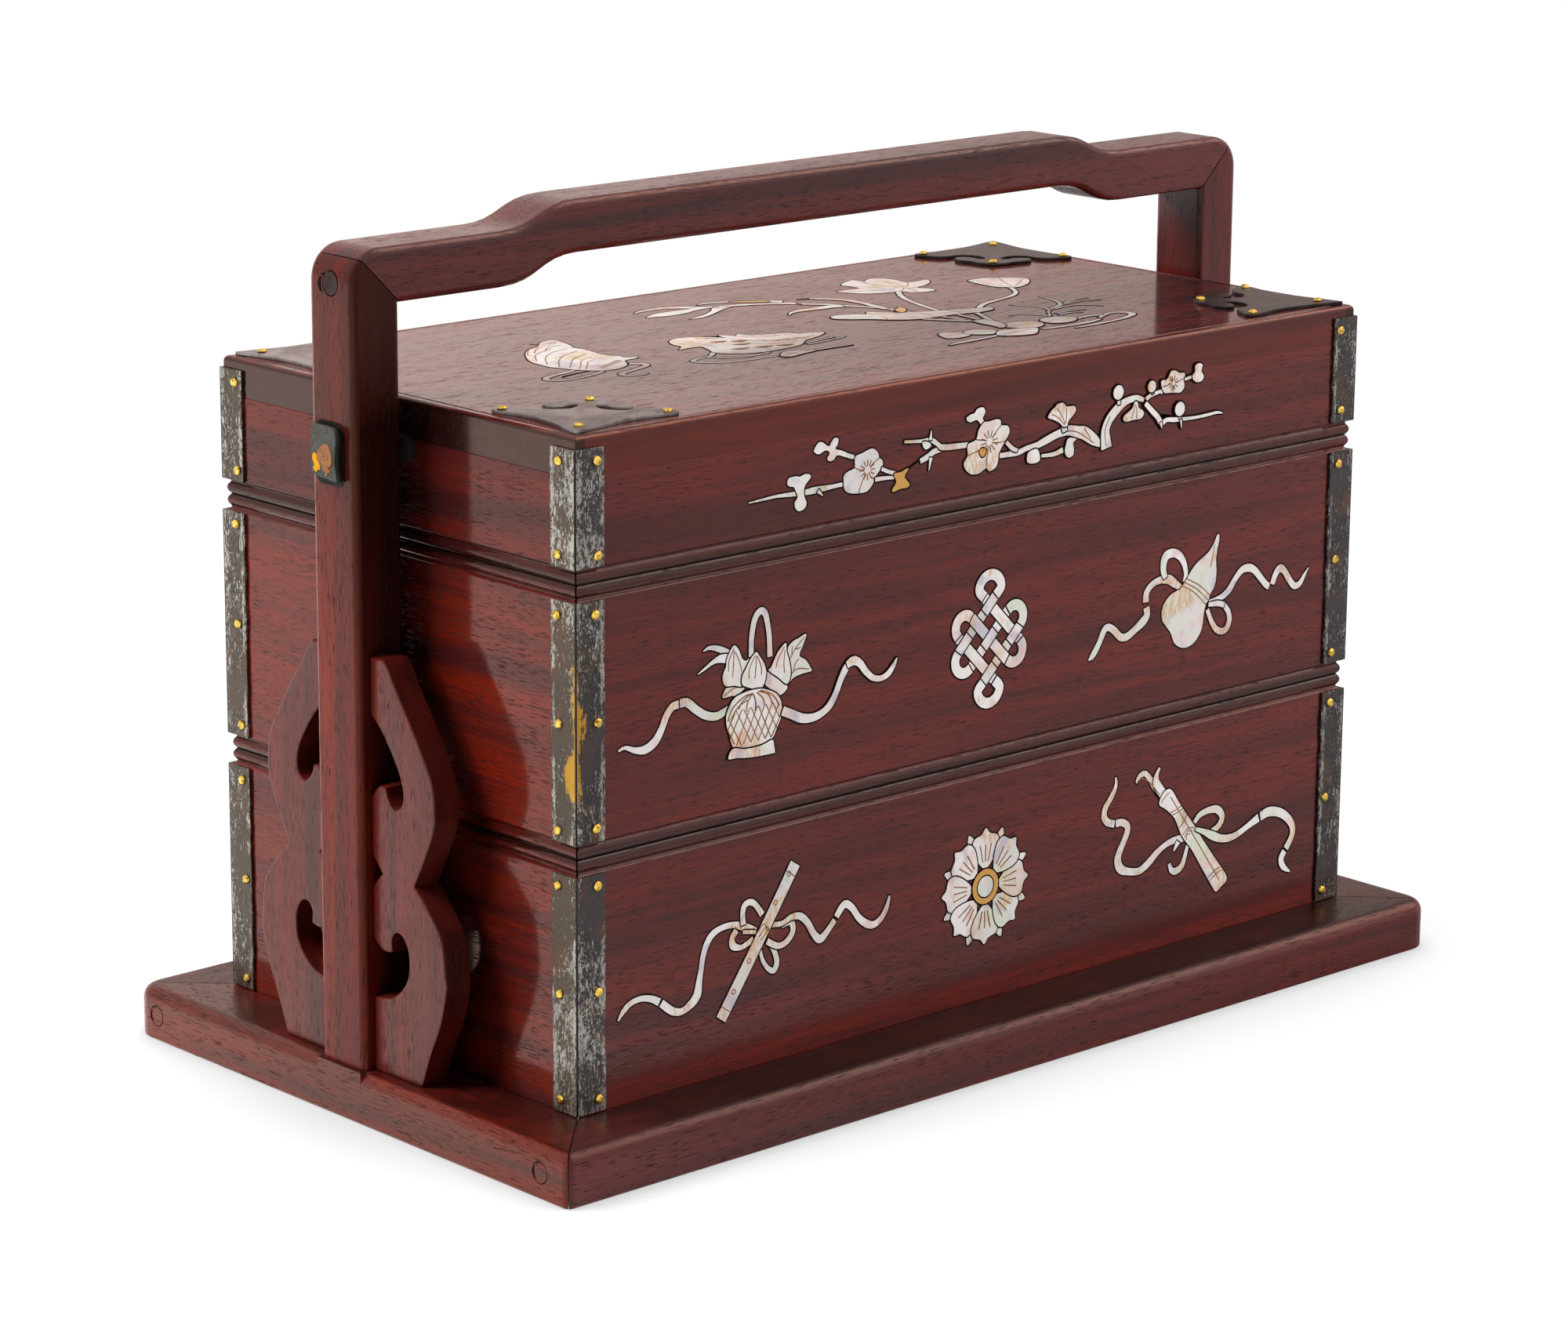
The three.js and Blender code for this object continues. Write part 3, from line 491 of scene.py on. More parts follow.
def mother_of_pearl(scene):
    """Polished shell, cream to cool white from piece to piece, with soft clouds of pink, green
    and lilac and streaks of amber where its growth layers are cut through"""
    inlay = scene.box_inlay
    material, tree, shader, coords = new_material("Mother of pearl", Roughness=0.3, IOR=1.5)
    tone = node(tree, "Attribute", attribute_name="tone").outputs["Fac"]
    # The pink, green and lilac clouds are painted iridescence, the shell's shifting sheen
    pink = noise(tree, coords, 9, 2, 0.5, 0.6)
    green = noise(tree, coords, 11, 2, 0.5, 0.6, offset=4)
    lilac = noise(tree, coords, 8, 2, 0.5, 0.5, offset=9)
    darkened = noise(tree, coords, 14, 2, 0.5, 0.4, offset=15)
    layers = noise(tree, coords, (0.9, 6, 5), 3, 0.6, 1.2, offset=2)
    ground = mixed(tree, mask(tree, tone, 0, 0.8), rgba(inlay.shell), linear("#dfd9d5"))
    ground = mixed(tree, mask(tree, pink, 0.5, 0.66, 0, 0.75), ground, linear("#e6c6be"))
    ground = mixed(tree, mask(tree, green, 0.52, 0.68, 0, 0.7), ground, linear("#d6dfc6"))
    ground = mixed(tree, mask(tree, lilac, 0.54, 0.7, 0, 0.7), ground, linear("#b9afbe"))
    streaks = product(tree, mask(tree, darkened, 0.5, 0.62), mask(tree, layers, 0.4, 0.6), 0.75)
    ground = mixed(tree, streaks, ground, rgba(inlay.amber))
    ground = mixed(tree, mask(tree, tone, 0.9, 1), ground, rgba(inlay.amber))
    feed(tree, shader, {"Base Color": ground, "Normal": raised(tree, layers, 0.02)})
    return material


def black_mastic(scene):
    """Lacquer glue that holds the shell: nearly black, dull and a little uneven"""
    material, tree, shader, coords = new_material("Black mastic", IOR=1.15)
    grains = noise(tree, coords, 0.8, 3)
    mastic = rgba(scene.box_inlay.mastic)
    feed(tree, shader, {
        "Base Color": mixed(tree, mask(tree, grains, 0.4, 0.7), mastic, linear("#1f1210")),
        "Roughness": mask(tree, grains, 0.3, 0.7, 0.6, 0.8),
    })
    return material


def brown_engraving(scene):
    """Fine lines cut in the shell and rubbed with brown colour, stronger and weaker by turns"""
    material, tree, shader, coords = new_material("Brown engraving", IOR=1.5, Roughness=0.5)
    strength = noise(tree, coords, 3, 2)
    colour = mixed(tree, mask(tree, strength, 0.35, 0.65), linear("#6b3f14"), linear("#9a6a34"))
    feed(tree, shader, {"Base Color": colour})
    return material


# Helpers for meshes

def select_only(*objects):
    """Leaves these objects alone selected, the first of them active"""
    if bpy.context.object and bpy.context.object.mode != "OBJECT":
        bpy.ops.object.mode_set(mode="OBJECT")
    bpy.ops.object.select_all(action="DESELECT")
    for obj in objects:
        obj.select_set(True)
    bpy.context.view_layer.objects.active = objects[0]
    return objects[0]


@contextmanager
def editing(obj):
    """Opens an object in edit mode with its whole mesh selected, and closes it again"""
    select_only(obj)
    bpy.ops.object.mode_set(mode="EDIT")
    bpy.ops.mesh.select_all(action="SELECT")
    yield
    bpy.ops.object.mode_set(mode="OBJECT")


def new_object(name, data):
    obj = bpy.data.objects.new(name, data)
    bpy.context.scene.collection.objects.link(obj)
    return obj


def joined(*objects):
    """Joins the objects into the first of them"""
    first = select_only(*objects)
    bpy.ops.object.join()
    return first


def finish_piece(obj, name, body, material, replaces=()):
    """Names a piece, gives it its material and lets it ride on its body"""
    obj.name = name
    obj.data.name = name
    obj.data.materials.clear()
    obj.data.materials.append(material)
    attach(obj, body)
    if replaces:
        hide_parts(*replaces)


def apply_modifier(obj, kind, **settings):
    select_only(obj)
    bpy.ops.object.modifier_add(type=kind)
    modifier = obj.modifiers[-1]
    for key, value in settings.items():
        setattr(modifier, key, value)
    bpy.ops.object.modifier_apply(modifier=modifier.name)


def shade(obj, degrees=35, weighted=False):
    """Shades an object smooth where it turns by less than this; weighted keeps its flats flat"""
    select_only(obj)
    bpy.ops.object.shade_smooth_by_angle(angle=math.radians(degrees))
    if weighted:
        apply_modifier(obj, "WEIGHTED_NORMAL", keep_sharp=True)


def ease_edges(obj, width, **settings):
    """Rounds the edges where an object turns by more than 40 degrees"""
    apply_modifier(obj, "BEVEL", width=width, segments=2, limit_method="ANGLE",
                   angle_limit=math.radians(40), **settings)


def dressed_copy(node_name, material, edge, reshape=None):
    """A copy of a CAD node with its arrises eased, which stands for the node"""
    source = frame["nodes"][node_name]
    copy = new_object(f"{node_name}_dressed", source.data.copy())
    with editing(copy):
        bpy.ops.mesh.customdata_custom_splitnormals_clear()
        bpy.ops.mesh.remove_doubles(threshold=WELD)
        bpy.ops.mesh.dissolve_limited(angle_limit=math.radians(0.6))
    if reshape:
        reshape(copy)
    ease_edges(copy, edge, use_clamp_overlap=True)
    shade(copy, weighted=True)
    finish_piece(copy, copy.name, source["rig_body"], material, [node_name])


def smooth_path(points, steps, closed=False):
    """Points on the Catmull-Rom curve through the given points"""
    path = []
    count = len(points)
    last = count if closed else count - 1
    for i in range(last):
        if closed:
            a, b, c, d = (Vector(points[(i + k) % count]) for k in (-1, 0, 1, 2))
        else:
            a, b, c, d = (Vector(points[min(max(i + k, 0), count - 1)]) for k in (-1, 0, 1, 2))
        for step in range(steps):
            t = step / steps
            path.append(0.5 * (2 * b + (c - a) * t + (2 * a - 5 * b + 4 * c - d) * t * t
                               + (3 * b - a - 3 * c + d) * t * t * t))
    if not closed:
        path.append(Vector(points[-1]))
    return path


def sheet_from_outline(outline, thickness, edge):
    """A flat curve with this outline in metres, thickened and rounded, made a mesh that lies
    on the floor plane"""
    bpy.ops.object.select_all(action="DESELECT")
    bpy.ops.curve.primitive_bezier_circle_add(radius=1, location=(0, 0, 0))
    obj = bpy.context.object
    curve = obj.data
    curve.splines.clear()
    curve.dimensions = "2D"
    curve.fill_mode = "BOTH"
    spline = curve.splines.new("POLY")
    spline.points.add(len(outline) - 1)
    for point, place in zip(spline.points, outline):
        point.co = (place[0], place[1], 0, 1)
    spline.use_cyclic_u = True
    curve.extrude = thickness / 2 - edge
    curve.bevel_depth = edge
    curve.bevel_resolution = 1
    curve.offset = -edge
    select_only(obj)
    bpy.ops.object.convert(target="MESH")
    obj = bpy.context.object
    obj.location.z = thickness / 2
    bpy.ops.object.transform_apply(location=True, rotation=True, scale=True)
    with editing(obj):
        bpy.ops.mesh.remove_doubles(threshold=WELD / 2)
        bpy.ops.mesh.normals_make_consistent(inside=False)
    return obj


def on_end(sign, outer, across=0, up=0):
    """Stands a flat shape up on an end, its face outwards; outer is the end's place along X"""
    return Matrix(((0, 0, sign, outer), (sign, 0, 0, across), (0, 1, 0, up), (0, 0, 0, 1)))


def placed_copy(obj, matrix):
    """A copy with its own mesh, moved by the matrix, its faces outward"""
    copy = obj.copy()
    copy.data = obj.data.copy()
    bpy.context.scene.collection.objects.link(copy)
    copy.data.transform(matrix)
    if matrix.determinant() < 0:
        copy.data.flip_normals()
    return copy


def discard(obj):
    bpy.data.objects.remove(obj)


# Wood

class PICNIC_OT_boards(bpy.types.Operator):
    """Eases the edges of the boards, rails and posts and gives them waxed rosewood"""
    bl_idname = "picnic.boards"
    bl_label = "Boards, rails and posts"

    # How far hands and knocks have rounded each corner of the base, in mm
    corner_radii = {("left", "front"): 2.5, ("left", "back"): 8,
                    ("right", "front"): 8, ("right", "back"): 6}
    corner_cuts = 4

    def round_corners(self, rail, along):
        """Rounds the ends of a base rail in plan, from a square corner to a quarter circle"""
        outer = Vector((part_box("base_right_rail")[1].x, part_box("base_back_rail")[1].y))
        for (side, face), radius in self.corner_radii.items():
            radius *= MM
            signs = Vector((SIDES[side], FACES[face]))
            centre = Vector((signs.x * (outer.x - radius), signs.y * (outer.y - radius)))
            normal = Vector((0, 0, 0))
            normal[along] = signs[along]
            with editing(rail):
                for step in range(self.corner_cuts):
                    cut_at = centre.to_3d()
                    turn = math.radians(45 * step / self.corner_cuts)
                    cut_at[along] += signs[along] * radius * math.tan(turn)
                    bpy.ops.mesh.select_all(action="SELECT")
                    bpy.ops.mesh.bisect(plane_co=cut_at, plane_no=normal)
            for vertex in rail.data.vertices:
                off = vertex.co.to_2d() - centre
                out = (off.x * signs.x, off.y * signs.y)
                if min(out) > -1e-7 and off.length > 1e-6:
                    off *= max(out) / off.length
                    vertex.co.xy = centre + off

    def execute(self, context):
        scene = context.scene
        edge = scene.box_rosewood.eased_edge
        warm = "#ffc3b0"
        on_ends = {"seed": 1, "polish": 0.09, "veil": warm, "dirt_and_shade": dirt_of_seams}
        front, end, lid_end, top, post, far_post, rail, base_long, base_end = (
            waxed_rosewood(scene, f"Waxed rosewood of the {name}", axis, **settings)
            for name, axis, settings in (
                ("long boards", "X", {"gloss": 1.42, "dirt_and_shade": dirt_of_seams}),
                ("end boards", "Y", {**on_ends, "warmth": 1.0, "shade": 0.14, "gloss": 1.46}),
                ("lid ends", "Y", {**on_ends, "warmth": 0.7, "shade": 0.36, "gloss": 1.4}),
                ("lid top", "X", {"shade": 0.3, "polish": 0.11, "gloss": 1.56, "veil": warm,
                                  "depth": 0.002, "pored": 0.4, "dirt_and_shade": dirt_of_lid_ends}),
                ("left upright", "Z", {"seed": 2, "warmth": 1.0, "shade": 0.06, "polish": 0.22,
                                       "gloss": 1.38, "veil": "#f4b49c", "dirt_and_shade": dirt_of_uprights}),
                # Painted shade: the right upright's wood is darker and less orange than the left
                # upright's
                ("right upright", "Z", {"seed": 7, "shade": 0.25, "gloss": 1.42}),
                ("handle", "X", {"seed": 3, "shade": 0.32}),
                ("long base rails", "X", {"seed": 4, "shade": 0.3, "polish": 0.28, "gloss": 1.38,
                                          "dirt_and_shade": dirt_of_base}),
                ("end base rails", "Y", {"seed": 6, "warmth": 0.9, "shade": 0.16, "polish": 0.26,
                                         "gloss": 1.5, "veil": "#ffdcbc", "dirt_and_shade": dirt_of_base}),
            )
        )
        # The frame is rounded by hand already, and its mitres and the lid's joints are tight
        fine_edge = scene.box_rosewood.frame_edge
        for tier in (*TIERS, "lid"):
            on_lid = tier == "lid"
            for face in FACES:
                dressed_copy(f"{tier}_{face}_board", front,
                             fine_edge if on_lid else edge)
            for side in SIDES:
                dressed_copy(f"{tier}_{side}_board", lid_end if on_lid else end, edge)
        dressed_copy("lid_top_board", top, fine_edge)
        for name, wood in (("left_upright", post), ("right_upright", far_post), ("handle_rail", rail)):
            dressed_copy(name, wood, fine_edge)
        for side, wood, along in (("left", base_end, 1), ("right", base_end, 1),
                                  ("front", base_long, 0), ("back", base_long, 0)):
            dressed_copy(f"base_{side}_rail", wood, fine_edge,
                         reshape=lambda copy: self.round_corners(copy, along))
        plain = {"base_cross_rail": base_end, **{f"{tier}_floor": front for tier in TIERS}}
        dowel = end_grain_rosewood(scene)
        for name in frame["nodes"]:
            if "dowel" in name:
                plain[name] = dowel if "handle" in name else base_end
        for name, material in plain.items():
            data = frame["nodes"][name].data
            for index in range(len(data.materials)):
                data.materials[index] = material
        return {"FINISHED"}


class PICNIC_OT_brackets(bpy.types.Operator):
    """Saws the four pierced standing brackets beside the uprights"""
    bl_idname = "picnic.brackets"
    bl_label = "Standing brackets"

    # Shares of the reach and of the height. The outer edge is climbed first, and the
    # scrolls and the notch follow on the way down along the upright.
    lower_edge = [(0.65, 0), (0.776, 0.087), (0.915, 0.169), (0.994, 0.252), (0.985, 0.293),
                  (0.933, 0.376), (0.742, 0.442), (0.576, 0.483)]
    upper_edge = [(0.576, 0.483), (0.697, 0.541), (0.839, 0.624), (0.864, 0.682), (0.818, 0.748),
                  (0.676, 0.814), (0.533, 0.872), (0.358, 0.938), (0.261, 0.979), (0.19, 1)]
    upper_cut = [(0.018, 0.86), (0.142, 0.831), (0.288, 0.781), (0.4, 0.731), (0.436, 0.69),
                 (0.4, 0.662), (0.318, 0.653), (0.236, 0.672), (0.203, 0.697)]
    upper_lobe = [(0.203, 0.697), (0.106, 0.697), (0, 0.665)]
    notch = [(0, 0.529), (0.13, 0.488), (0, 0.45)]
    lower_lobe = [(0, 0.326), (0.13, 0.3), (0.267, 0.304)]
    lower_cut = [(0.267, 0.304), (0.262, 0.335), (0.318, 0.354), (0.4, 0.35), (0.468, 0.325),
                 (0.488, 0.293), (0.464, 0.252), (0.364, 0.215), (0.212, 0.19), (0, 0.182)]

    def outline(self, reach, height):
        shares = [(0, 0)]
        for run in (self.lower_edge, self.upper_edge):
            shares += smooth_path(run, 10)
        shares += [(0, 1), (0, self.upper_cut[0][1])]
        shares += smooth_path(self.upper_cut, 8)
        shares += smooth_path(self.upper_lobe, 6)[1:]
        shares += self.notch
        shares += smooth_path(self.lower_lobe, 6)
        shares += smooth_path(self.lower_cut, 8)[1:]
        places = [Vector((a * reach, b * height)) for a, b in shares]
        return [p for i, p in enumerate(places) if (p - places[i - 1]).length > 2e-5]

    def execute(self, context):
        scene = context.scene
        wood = waxed_rosewood(scene, "Waxed rosewood of the brackets", "Z", seed=8, warmth=0.45,
                              shade=0.22, veil="#ffd2c0")
        low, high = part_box("bracket_left_back")
        reach, height, thickness = high.y - low.y, high.z - low.z, high.x - low.x
        bead = scene.box_rosewood.bead_edge
        master = sheet_from_outline(self.outline(reach, height), thickness, bead)
        upright = on_end(1, -thickness / 2)
        for side in SIDES:
            for face, sign in FACES.items():
                name = f"bracket_{side}_{face}"
                low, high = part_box(name)
                start = low.y if sign > 0 else high.y
                place = Matrix.Translation(((low.x + high.x) / 2, start, low.z))
                bracket = placed_copy(master, place @ Matrix.Diagonal((1, sign, 1, 1)) @ upright)
                shade(bracket, weighted=True)
                finish_piece(bracket, f"{name}_sawn", "carrying_frame", wood, [name])
        discard(master)
        return {"FINISHED"}


# Metal mounts

def nail_head(radius, rise, seed):
    """One struck nail head, round and slightly dented, on the floor plane"""
    bpy.ops.object.select_all(action="DESELECT")
    bpy.ops.mesh.primitive_uv_sphere_add(segments=12, ring_count=8, radius=radius, location=(0, 0, 0))
    obj = bpy.context.object
    with editing(obj):
        bpy.ops.mesh.bisect(plane_co=(0, 0, 0), plane_no=(0, 0, 1), use_fill=True, clear_inner=True)
        bpy.ops.mesh.select_all(action="SELECT")
        bpy.ops.transform.resize(value=(1, 1, rise / radius))
    dice = random.Random(seed)
    for vertex in obj.data.vertices:
        if vertex.co.z > 1e-5:
            vertex.co.z = min(rise, vertex.co.z * dice.uniform(0.9, 1.06))
            vertex.co.xy *= dice.uniform(0.95, 1.03)
    tones = [1 - vertex.co.z / rise for vertex in obj.data.vertices]
    obj.data.attributes.new("tone", "FLOAT", "POINT").data.foreach_set("value", tones)
    shade(obj, 50)
    return obj


def nails_piece(name, body, places, scene, brass):
    """Nails at the given places and directions, joined into one piece"""
    metal = scene.box_metal
    dice = random.Random(name)
    heads = []
    masters = [nail_head(metal.nail_radius, metal.nail_rise, seed) for seed in range(3)]
    sink = Matrix.Translation((0, 0, -0.05 * MM))
    for place, outward in places:
        turn = Vector(outward).to_track_quat("Z", "Y").to_matrix().to_4x4()
        spin = Matrix.Rotation(dice.uniform(0, math.tau), 4, "Z")
        tilt = Matrix.Rotation(dice.uniform(-0.12, 0.12), 4, "X")
        driven = Matrix.Translation(place) @ turn @ sink @ tilt @ spin
        heads.append(placed_copy(dice.choice(masters), driven))
    for master in masters:
        discard(master)
    finish_piece(joined(*heads), name, body, brass)


class PICNIC_OT_straps(bpy.types.Operator):
    """Folds the twelve corner straps and drives their nails"""
    bl_idname = "picnic.straps"
    bl_label = "Corner straps"

    leg = 10.4 * MM
    thickness = 0.9 * MM
    edge = 0.22 * MM
    nail_inset = 7.4 * MM
    nail_end = 3.6 * MM

    def strap(self, height, seed):
        """One strap round the corner at the origin, its legs along +X and +Y"""
        bpy.ops.object.select_all(action="DESELECT")
        bpy.ops.mesh.primitive_grid_add(x_subdivisions=12, y_subdivisions=26, size=1,
                                        location=(0, 0, 0))
        obj = bpy.context.object
        dice = random.Random(seed)
        for vertex in obj.data.vertices:
            across, up = vertex.co.x * 2 * self.leg, (vertex.co.y + 0.5) * height
            # The long edges were cut by hand and waver
            if abs(abs(vertex.co.x) - 0.5) < 1e-4 and abs(abs(vertex.co.y) - 0.5) > 1e-3:
                across += dice.uniform(-0.22, 0.22) * MM
            vertex.co = (across, 0, up)
        # The half with negative X is folded back along +Y
        with editing(obj):
            mesh = bmesh.from_edit_mesh(obj.data)
            for vertex in mesh.verts:
                vertex.select_set(vertex.co.x < -1e-6)
            mesh.select_flush_mode()
            bmesh.update_edit_mesh(obj.data)
            bpy.ops.transform.rotate(value=math.radians(90), orient_axis="Z",
                                     center_override=(0, 0, 0))
        for vertex in obj.data.vertices:
            if vertex.co.x < 1e-6:
                vertex.co = (0, abs(vertex.co.y), vertex.co.z)
        return obj

    def execute(self, context):
        scene = context.scene
        metal, brass = shared(tarnished_white_brass, scene), shared(polished_brass, scene)
        proud = scene.box_metal.nail_rise
        corners = (("front", "left"), ("front", "right"), ("back", "right"), ("back", "left"))
        for tier, rows in (("bottom_tier", 3), ("middle_tier", 3), ("lid", 2)):
            for face, side in corners:
                node_name = f"{tier}_strap_{face}_{side}"
                low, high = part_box(node_name)
                sx, sy = SIDES[side], FACES[face]
                corner = Vector((low.x if sx < 0 else high.x, low.y if sy < 0 else high.y, low.z))
                # The CAD strap's box counts the nail heads, which stand proud of the sheet
                corner.x -= sx * proud
                corner.y -= sy * proud
                obj = self.strap(high.z - low.z, node_name)
                obj.data.transform(Matrix.Translation(corner) @ Matrix.Diagonal((-sx, -sy, 1, 1)))
                if sx * sy < 0:
                    obj.data.flip_normals()
                with editing(obj):
                    bpy.ops.mesh.normals_make_consistent(inside=False)
                outward = Vector((sx, sy, 0))
                if sum(polygon.normal.dot(outward) for polygon in obj.data.polygons) < 0:
                    obj.data.flip_normals()
                apply_modifier(obj, "SOLIDIFY", thickness=self.thickness, offset=-1,
                               use_even_offset=True)
                ease_edges(obj, self.edge)
                shade(obj, weighted=True)
                finish_piece(obj, f"{node_name}_sheet", tier, metal, [node_name])
                places = []
                # The nails were placed by eye
                dice = random.Random(f"{node_name} nails")
                pitch = (high.z - low.z - 2 * self.nail_end) / (rows - 1)
                for row in range(rows):
                    up = low.z + self.nail_end + row * pitch
                    aside = [self.nail_inset + dice.uniform(-0.7, 0.7) * MM for _ in range(2)]
                    astray = [up + dice.uniform(-0.5, 0.5) * MM for _ in range(2)]
                    places.append(((corner.x - sx * aside[0], corner.y, astray[0]), (0, sy, 0)))
                    places.append(((corner.x, corner.y - sy * aside[1], astray[1]), (sx, 0, 0)))
                nails_piece(f"{node_name}_nails", tier, places, scene, brass)
        return {"FINISHED"}


class PICNIC_OT_corner_plates(bpy.types.Operator):
    """Cuts the four pierced corner plates of the lid and drives their nails"""
    bl_idname = "picnic.corner_plates"
    bl_label = "Corner plates"

    reach = 42 * MM
    thickness = 1.0 * MM
    edge = 0.18 * MM
    # Half of the outline in shares of the reach, mirrored across the diagonal
    corner = 0.06
    half = [(0.2, 0.085), (0.38, 0.125), (0.58, 0.155), (0.75, 0.145), (0.91, 0.11), (0.985, 0.12),
            (1, 0.17), (0.97, 0.235), (0.93, 0.315), (0.86, 0.37), (0.76, 0.38), (0.685, 0.45),
            (0.665, 0.53), (0.695, 0.61), (0.74, 0.635), (0.765, 0.6), (0.76, 0.54), (0.785, 0.475),
            (0.84, 0.45), (0.895, 0.475), (0.915, 0.55), (0.89, 0.635), (0.885, 0.73), (0.865, 0.785)]
    tip = 0.835
    nails = [(0.19, 0.19), (0.93, 0.165), (0.165, 0.93), (0.8, 0.8)]

    def execute(self, context):
        scene = context.scene
        plate_metal, brass = shared(brushed_brown_patina, scene), shared(polished_brass, scene)
        mirrored = [(b, a) for a, b in reversed(self.half)]
        shares = [(self.corner, self.corner), *self.half, (self.tip, self.tip), *mirrored]
        path = smooth_path([*shares, shares[0]], 5)[:-1]
        master = sheet_from_outline([Vector(p) * self.reach for p in path], self.thickness, self.edge)
        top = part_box("lid_top_board")[1]
        for face, sy in FACES.items():
            for side, sx in SIDES.items():
                name = f"lid_corner_plate_{face}_{side}"
                corner = Vector((top.x * sx, top.y * sy, top.z))
                place = Matrix.Translation(corner) @ Matrix.Diagonal((-sx, -sy, 1, 1))
                plate = placed_copy(master, place)
                shade(plate, weighted=True)
                finish_piece(plate, f"{name}_sheet", "lid", plate_metal, [name])
                places = [(place @ Vector((a * self.reach, b * self.reach, self.thickness)), (0, 0, 1))
                          for a, b in self.nails]
                nails_piece(f"{name}_nails", "lid", places, scene, brass)
        discard(master)
        return {"FINISHED"}


class PICNIC_OT_pins(bpy.types.Operator):
    """Shapes the heads of the two locking pins and dresses the sockets that take them"""
    bl_idname = "picnic.pins"
    bl_label = "Locking pins and sockets"

    head_thickness = 2.6 * MM
    head_edge = 0.4 * MM
    # The head seen from outside the left end, in millimetres from its middle, front at the right
    head = [(6.2, 5.8), (6, 3), (5.6, 0), (5.7, -3), (6.2, -5.6), (6.4, -6.7), (6, -7.2), (5, -7.1),
            (1, -6.8), (-3, -6.5), (-4.4, -6), (-5, -4.9), (-5.1, -3), (-5, 2), (-5.1, 7.2),
            (-4.9, 7.9), (-4.1, 8.1), (0, 8), (4, 7.8), (5.5, 7.2)]
    # Old wax on the left head, from the same middle: rusty scab, then the fresh yellow
    scab = [(0.2, 2.6), (1.6, 3.2), (3.2, 2.6), (4.3, 1.2), (4.6, -0.6), (4.4, -2.2), (3.3, -3.4),
            (2.7, -4.8), (1.9, -5.6), (1.1, -4.7), (-0.2, -3.6), (-1.4, -2.4), (-2.3, -0.6), (-1.6, 1)]
    fresh = [(-4.2, -0.8), (-3.3, 0), (-2.4, -0.4), (-1.9, -1.8), (-0.9, -3), (-0.7, -4.4),
             (-1.7, -4.6), (-2.3, -5.3), (-3.3, -5), (-3.9, -4.2), (-3.2, -3.2), (-4, -2.2)]
    crumb = [(1.1, -5), (1.9, -5.9), (2.6, -5), (3.4, -4.4), (4.3, -2.8), (3.5, -3.3), (2.5, -4.6),
             (1.9, -5.3)]

    def execute(self, context):
        scene = context.scene
        iron = shared(pin_iron, scene)
        for side, sign in SIDES.items():
            name = f"locking_pin_{side}"
            low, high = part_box(name)
            outer = low.x if sign < 0 else high.x
            back = outer - sign * self.head_thickness
            across, up = (low.y + high.y) / 2, (low.z + high.z) / 2
            outline = [p * MM for p in smooth_path(self.head, 4, closed=True)]
            head = sheet_from_outline(outline, self.head_thickness, self.head_edge)
            head.data.transform(on_end(sign, back, across, up))
            if side == "left":
                self.wax(scene, on_end(sign, outer, across, up))
            pin = joined(head, self.shank(name, back, sign))
            shade(pin, weighted=True)
            finish_piece(pin, f"{name}_forged", f"{side}_pin", iron, [name])
            dressed_copy(f"lid_socket_{side}", iron, 0.2 * MM)
        return {"FINISHED"}

    def wax(self, scene, place):
        """The scabs of wax on the left head, each with its height and its tone"""
        pieces = [(facing_up(smooth_path(points, 4, closed=True)), height * MM, tone)
                  for points, height, tone in
                  ((self.scab, 0.26, 0), (self.fresh, 0.3, 1), (self.crumb, 0.2, 0.6))]
        wax = sheets("left_pin_wax", pieces, 0.1 * MM)
        wax.data.transform(place)
        shade(wax)
        finish_piece(wax, "left_pin_wax", "left_pin", shared(old_wax, scene))

    def shank(self, name, back, sign):
        """The round shank of a CAD pin, cut off behind its head"""
        shank = new_object(f"{name}_shank", frame["nodes"][name].data.copy())
        with editing(shank):
            bpy.ops.mesh.customdata_custom_splitnormals_clear()
            bpy.ops.mesh.remove_doubles(threshold=WELD)
            bpy.ops.mesh.select_all(action="SELECT")
            bpy.ops.mesh.bisect(plane_co=(back - sign * 0.1 * MM, 0, 0), plane_no=(sign, 0, 0),
                                use_fill=True, clear_outer=True)
        return shank


class PICNIC_OT_dowel_gaps(bpy.types.Operator):
    """Draws the dark gaps beside the dowels that have shrunk in their holes"""
    bl_idname = "picnic.dowel_gaps"
    bl_label = "Gaps round the dowels"

    def execute(self, context):
        for side, sign in SIDES.items():
            pieces = []
            for name in (f"handle_dowel_{side}", f"base_dowel_front_{side}", f"base_dowel_back_{side}"):
                low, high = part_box(name)
                outer = low.x if sign < 0 else high.x
                reach = (high.z - low.z) / 2 / MM - 0.35
                strong = 1 if "handle" in name else 0.45
                middle = Vector(((low.y + high.y) / 2 * sign / MM, (low.z + high.z) / 2 / MM))
                # Each gap opens from a hair to its width between two turns in degrees
                for start, end, width in ((95, 128, 0.5), (140, 232, 1)):
                    arc = []
                    for share in (0, 0.2, 0.5, 0.8, 1):
                        turn = math.radians(start + (end - start) * share)
                        arc.append((middle.x + reach * math.cos(turn),
                                    middle.y + reach * math.sin(turn),
                                    (0.15 + width * 4 * share * (1 - share)) * strong))
                    pieces.append((facing_up(band_outline(arc)), 0.08 * MM, 0))
            gaps = sheets(f"{side}_dowel_gaps", pieces, 0)
            gaps.data.transform(on_end(sign, outer))
            finish_piece(gaps, gaps.name, "carrying_frame", shared(black_mastic, context.scene))
        return {"FINISHED"}


# Inlay

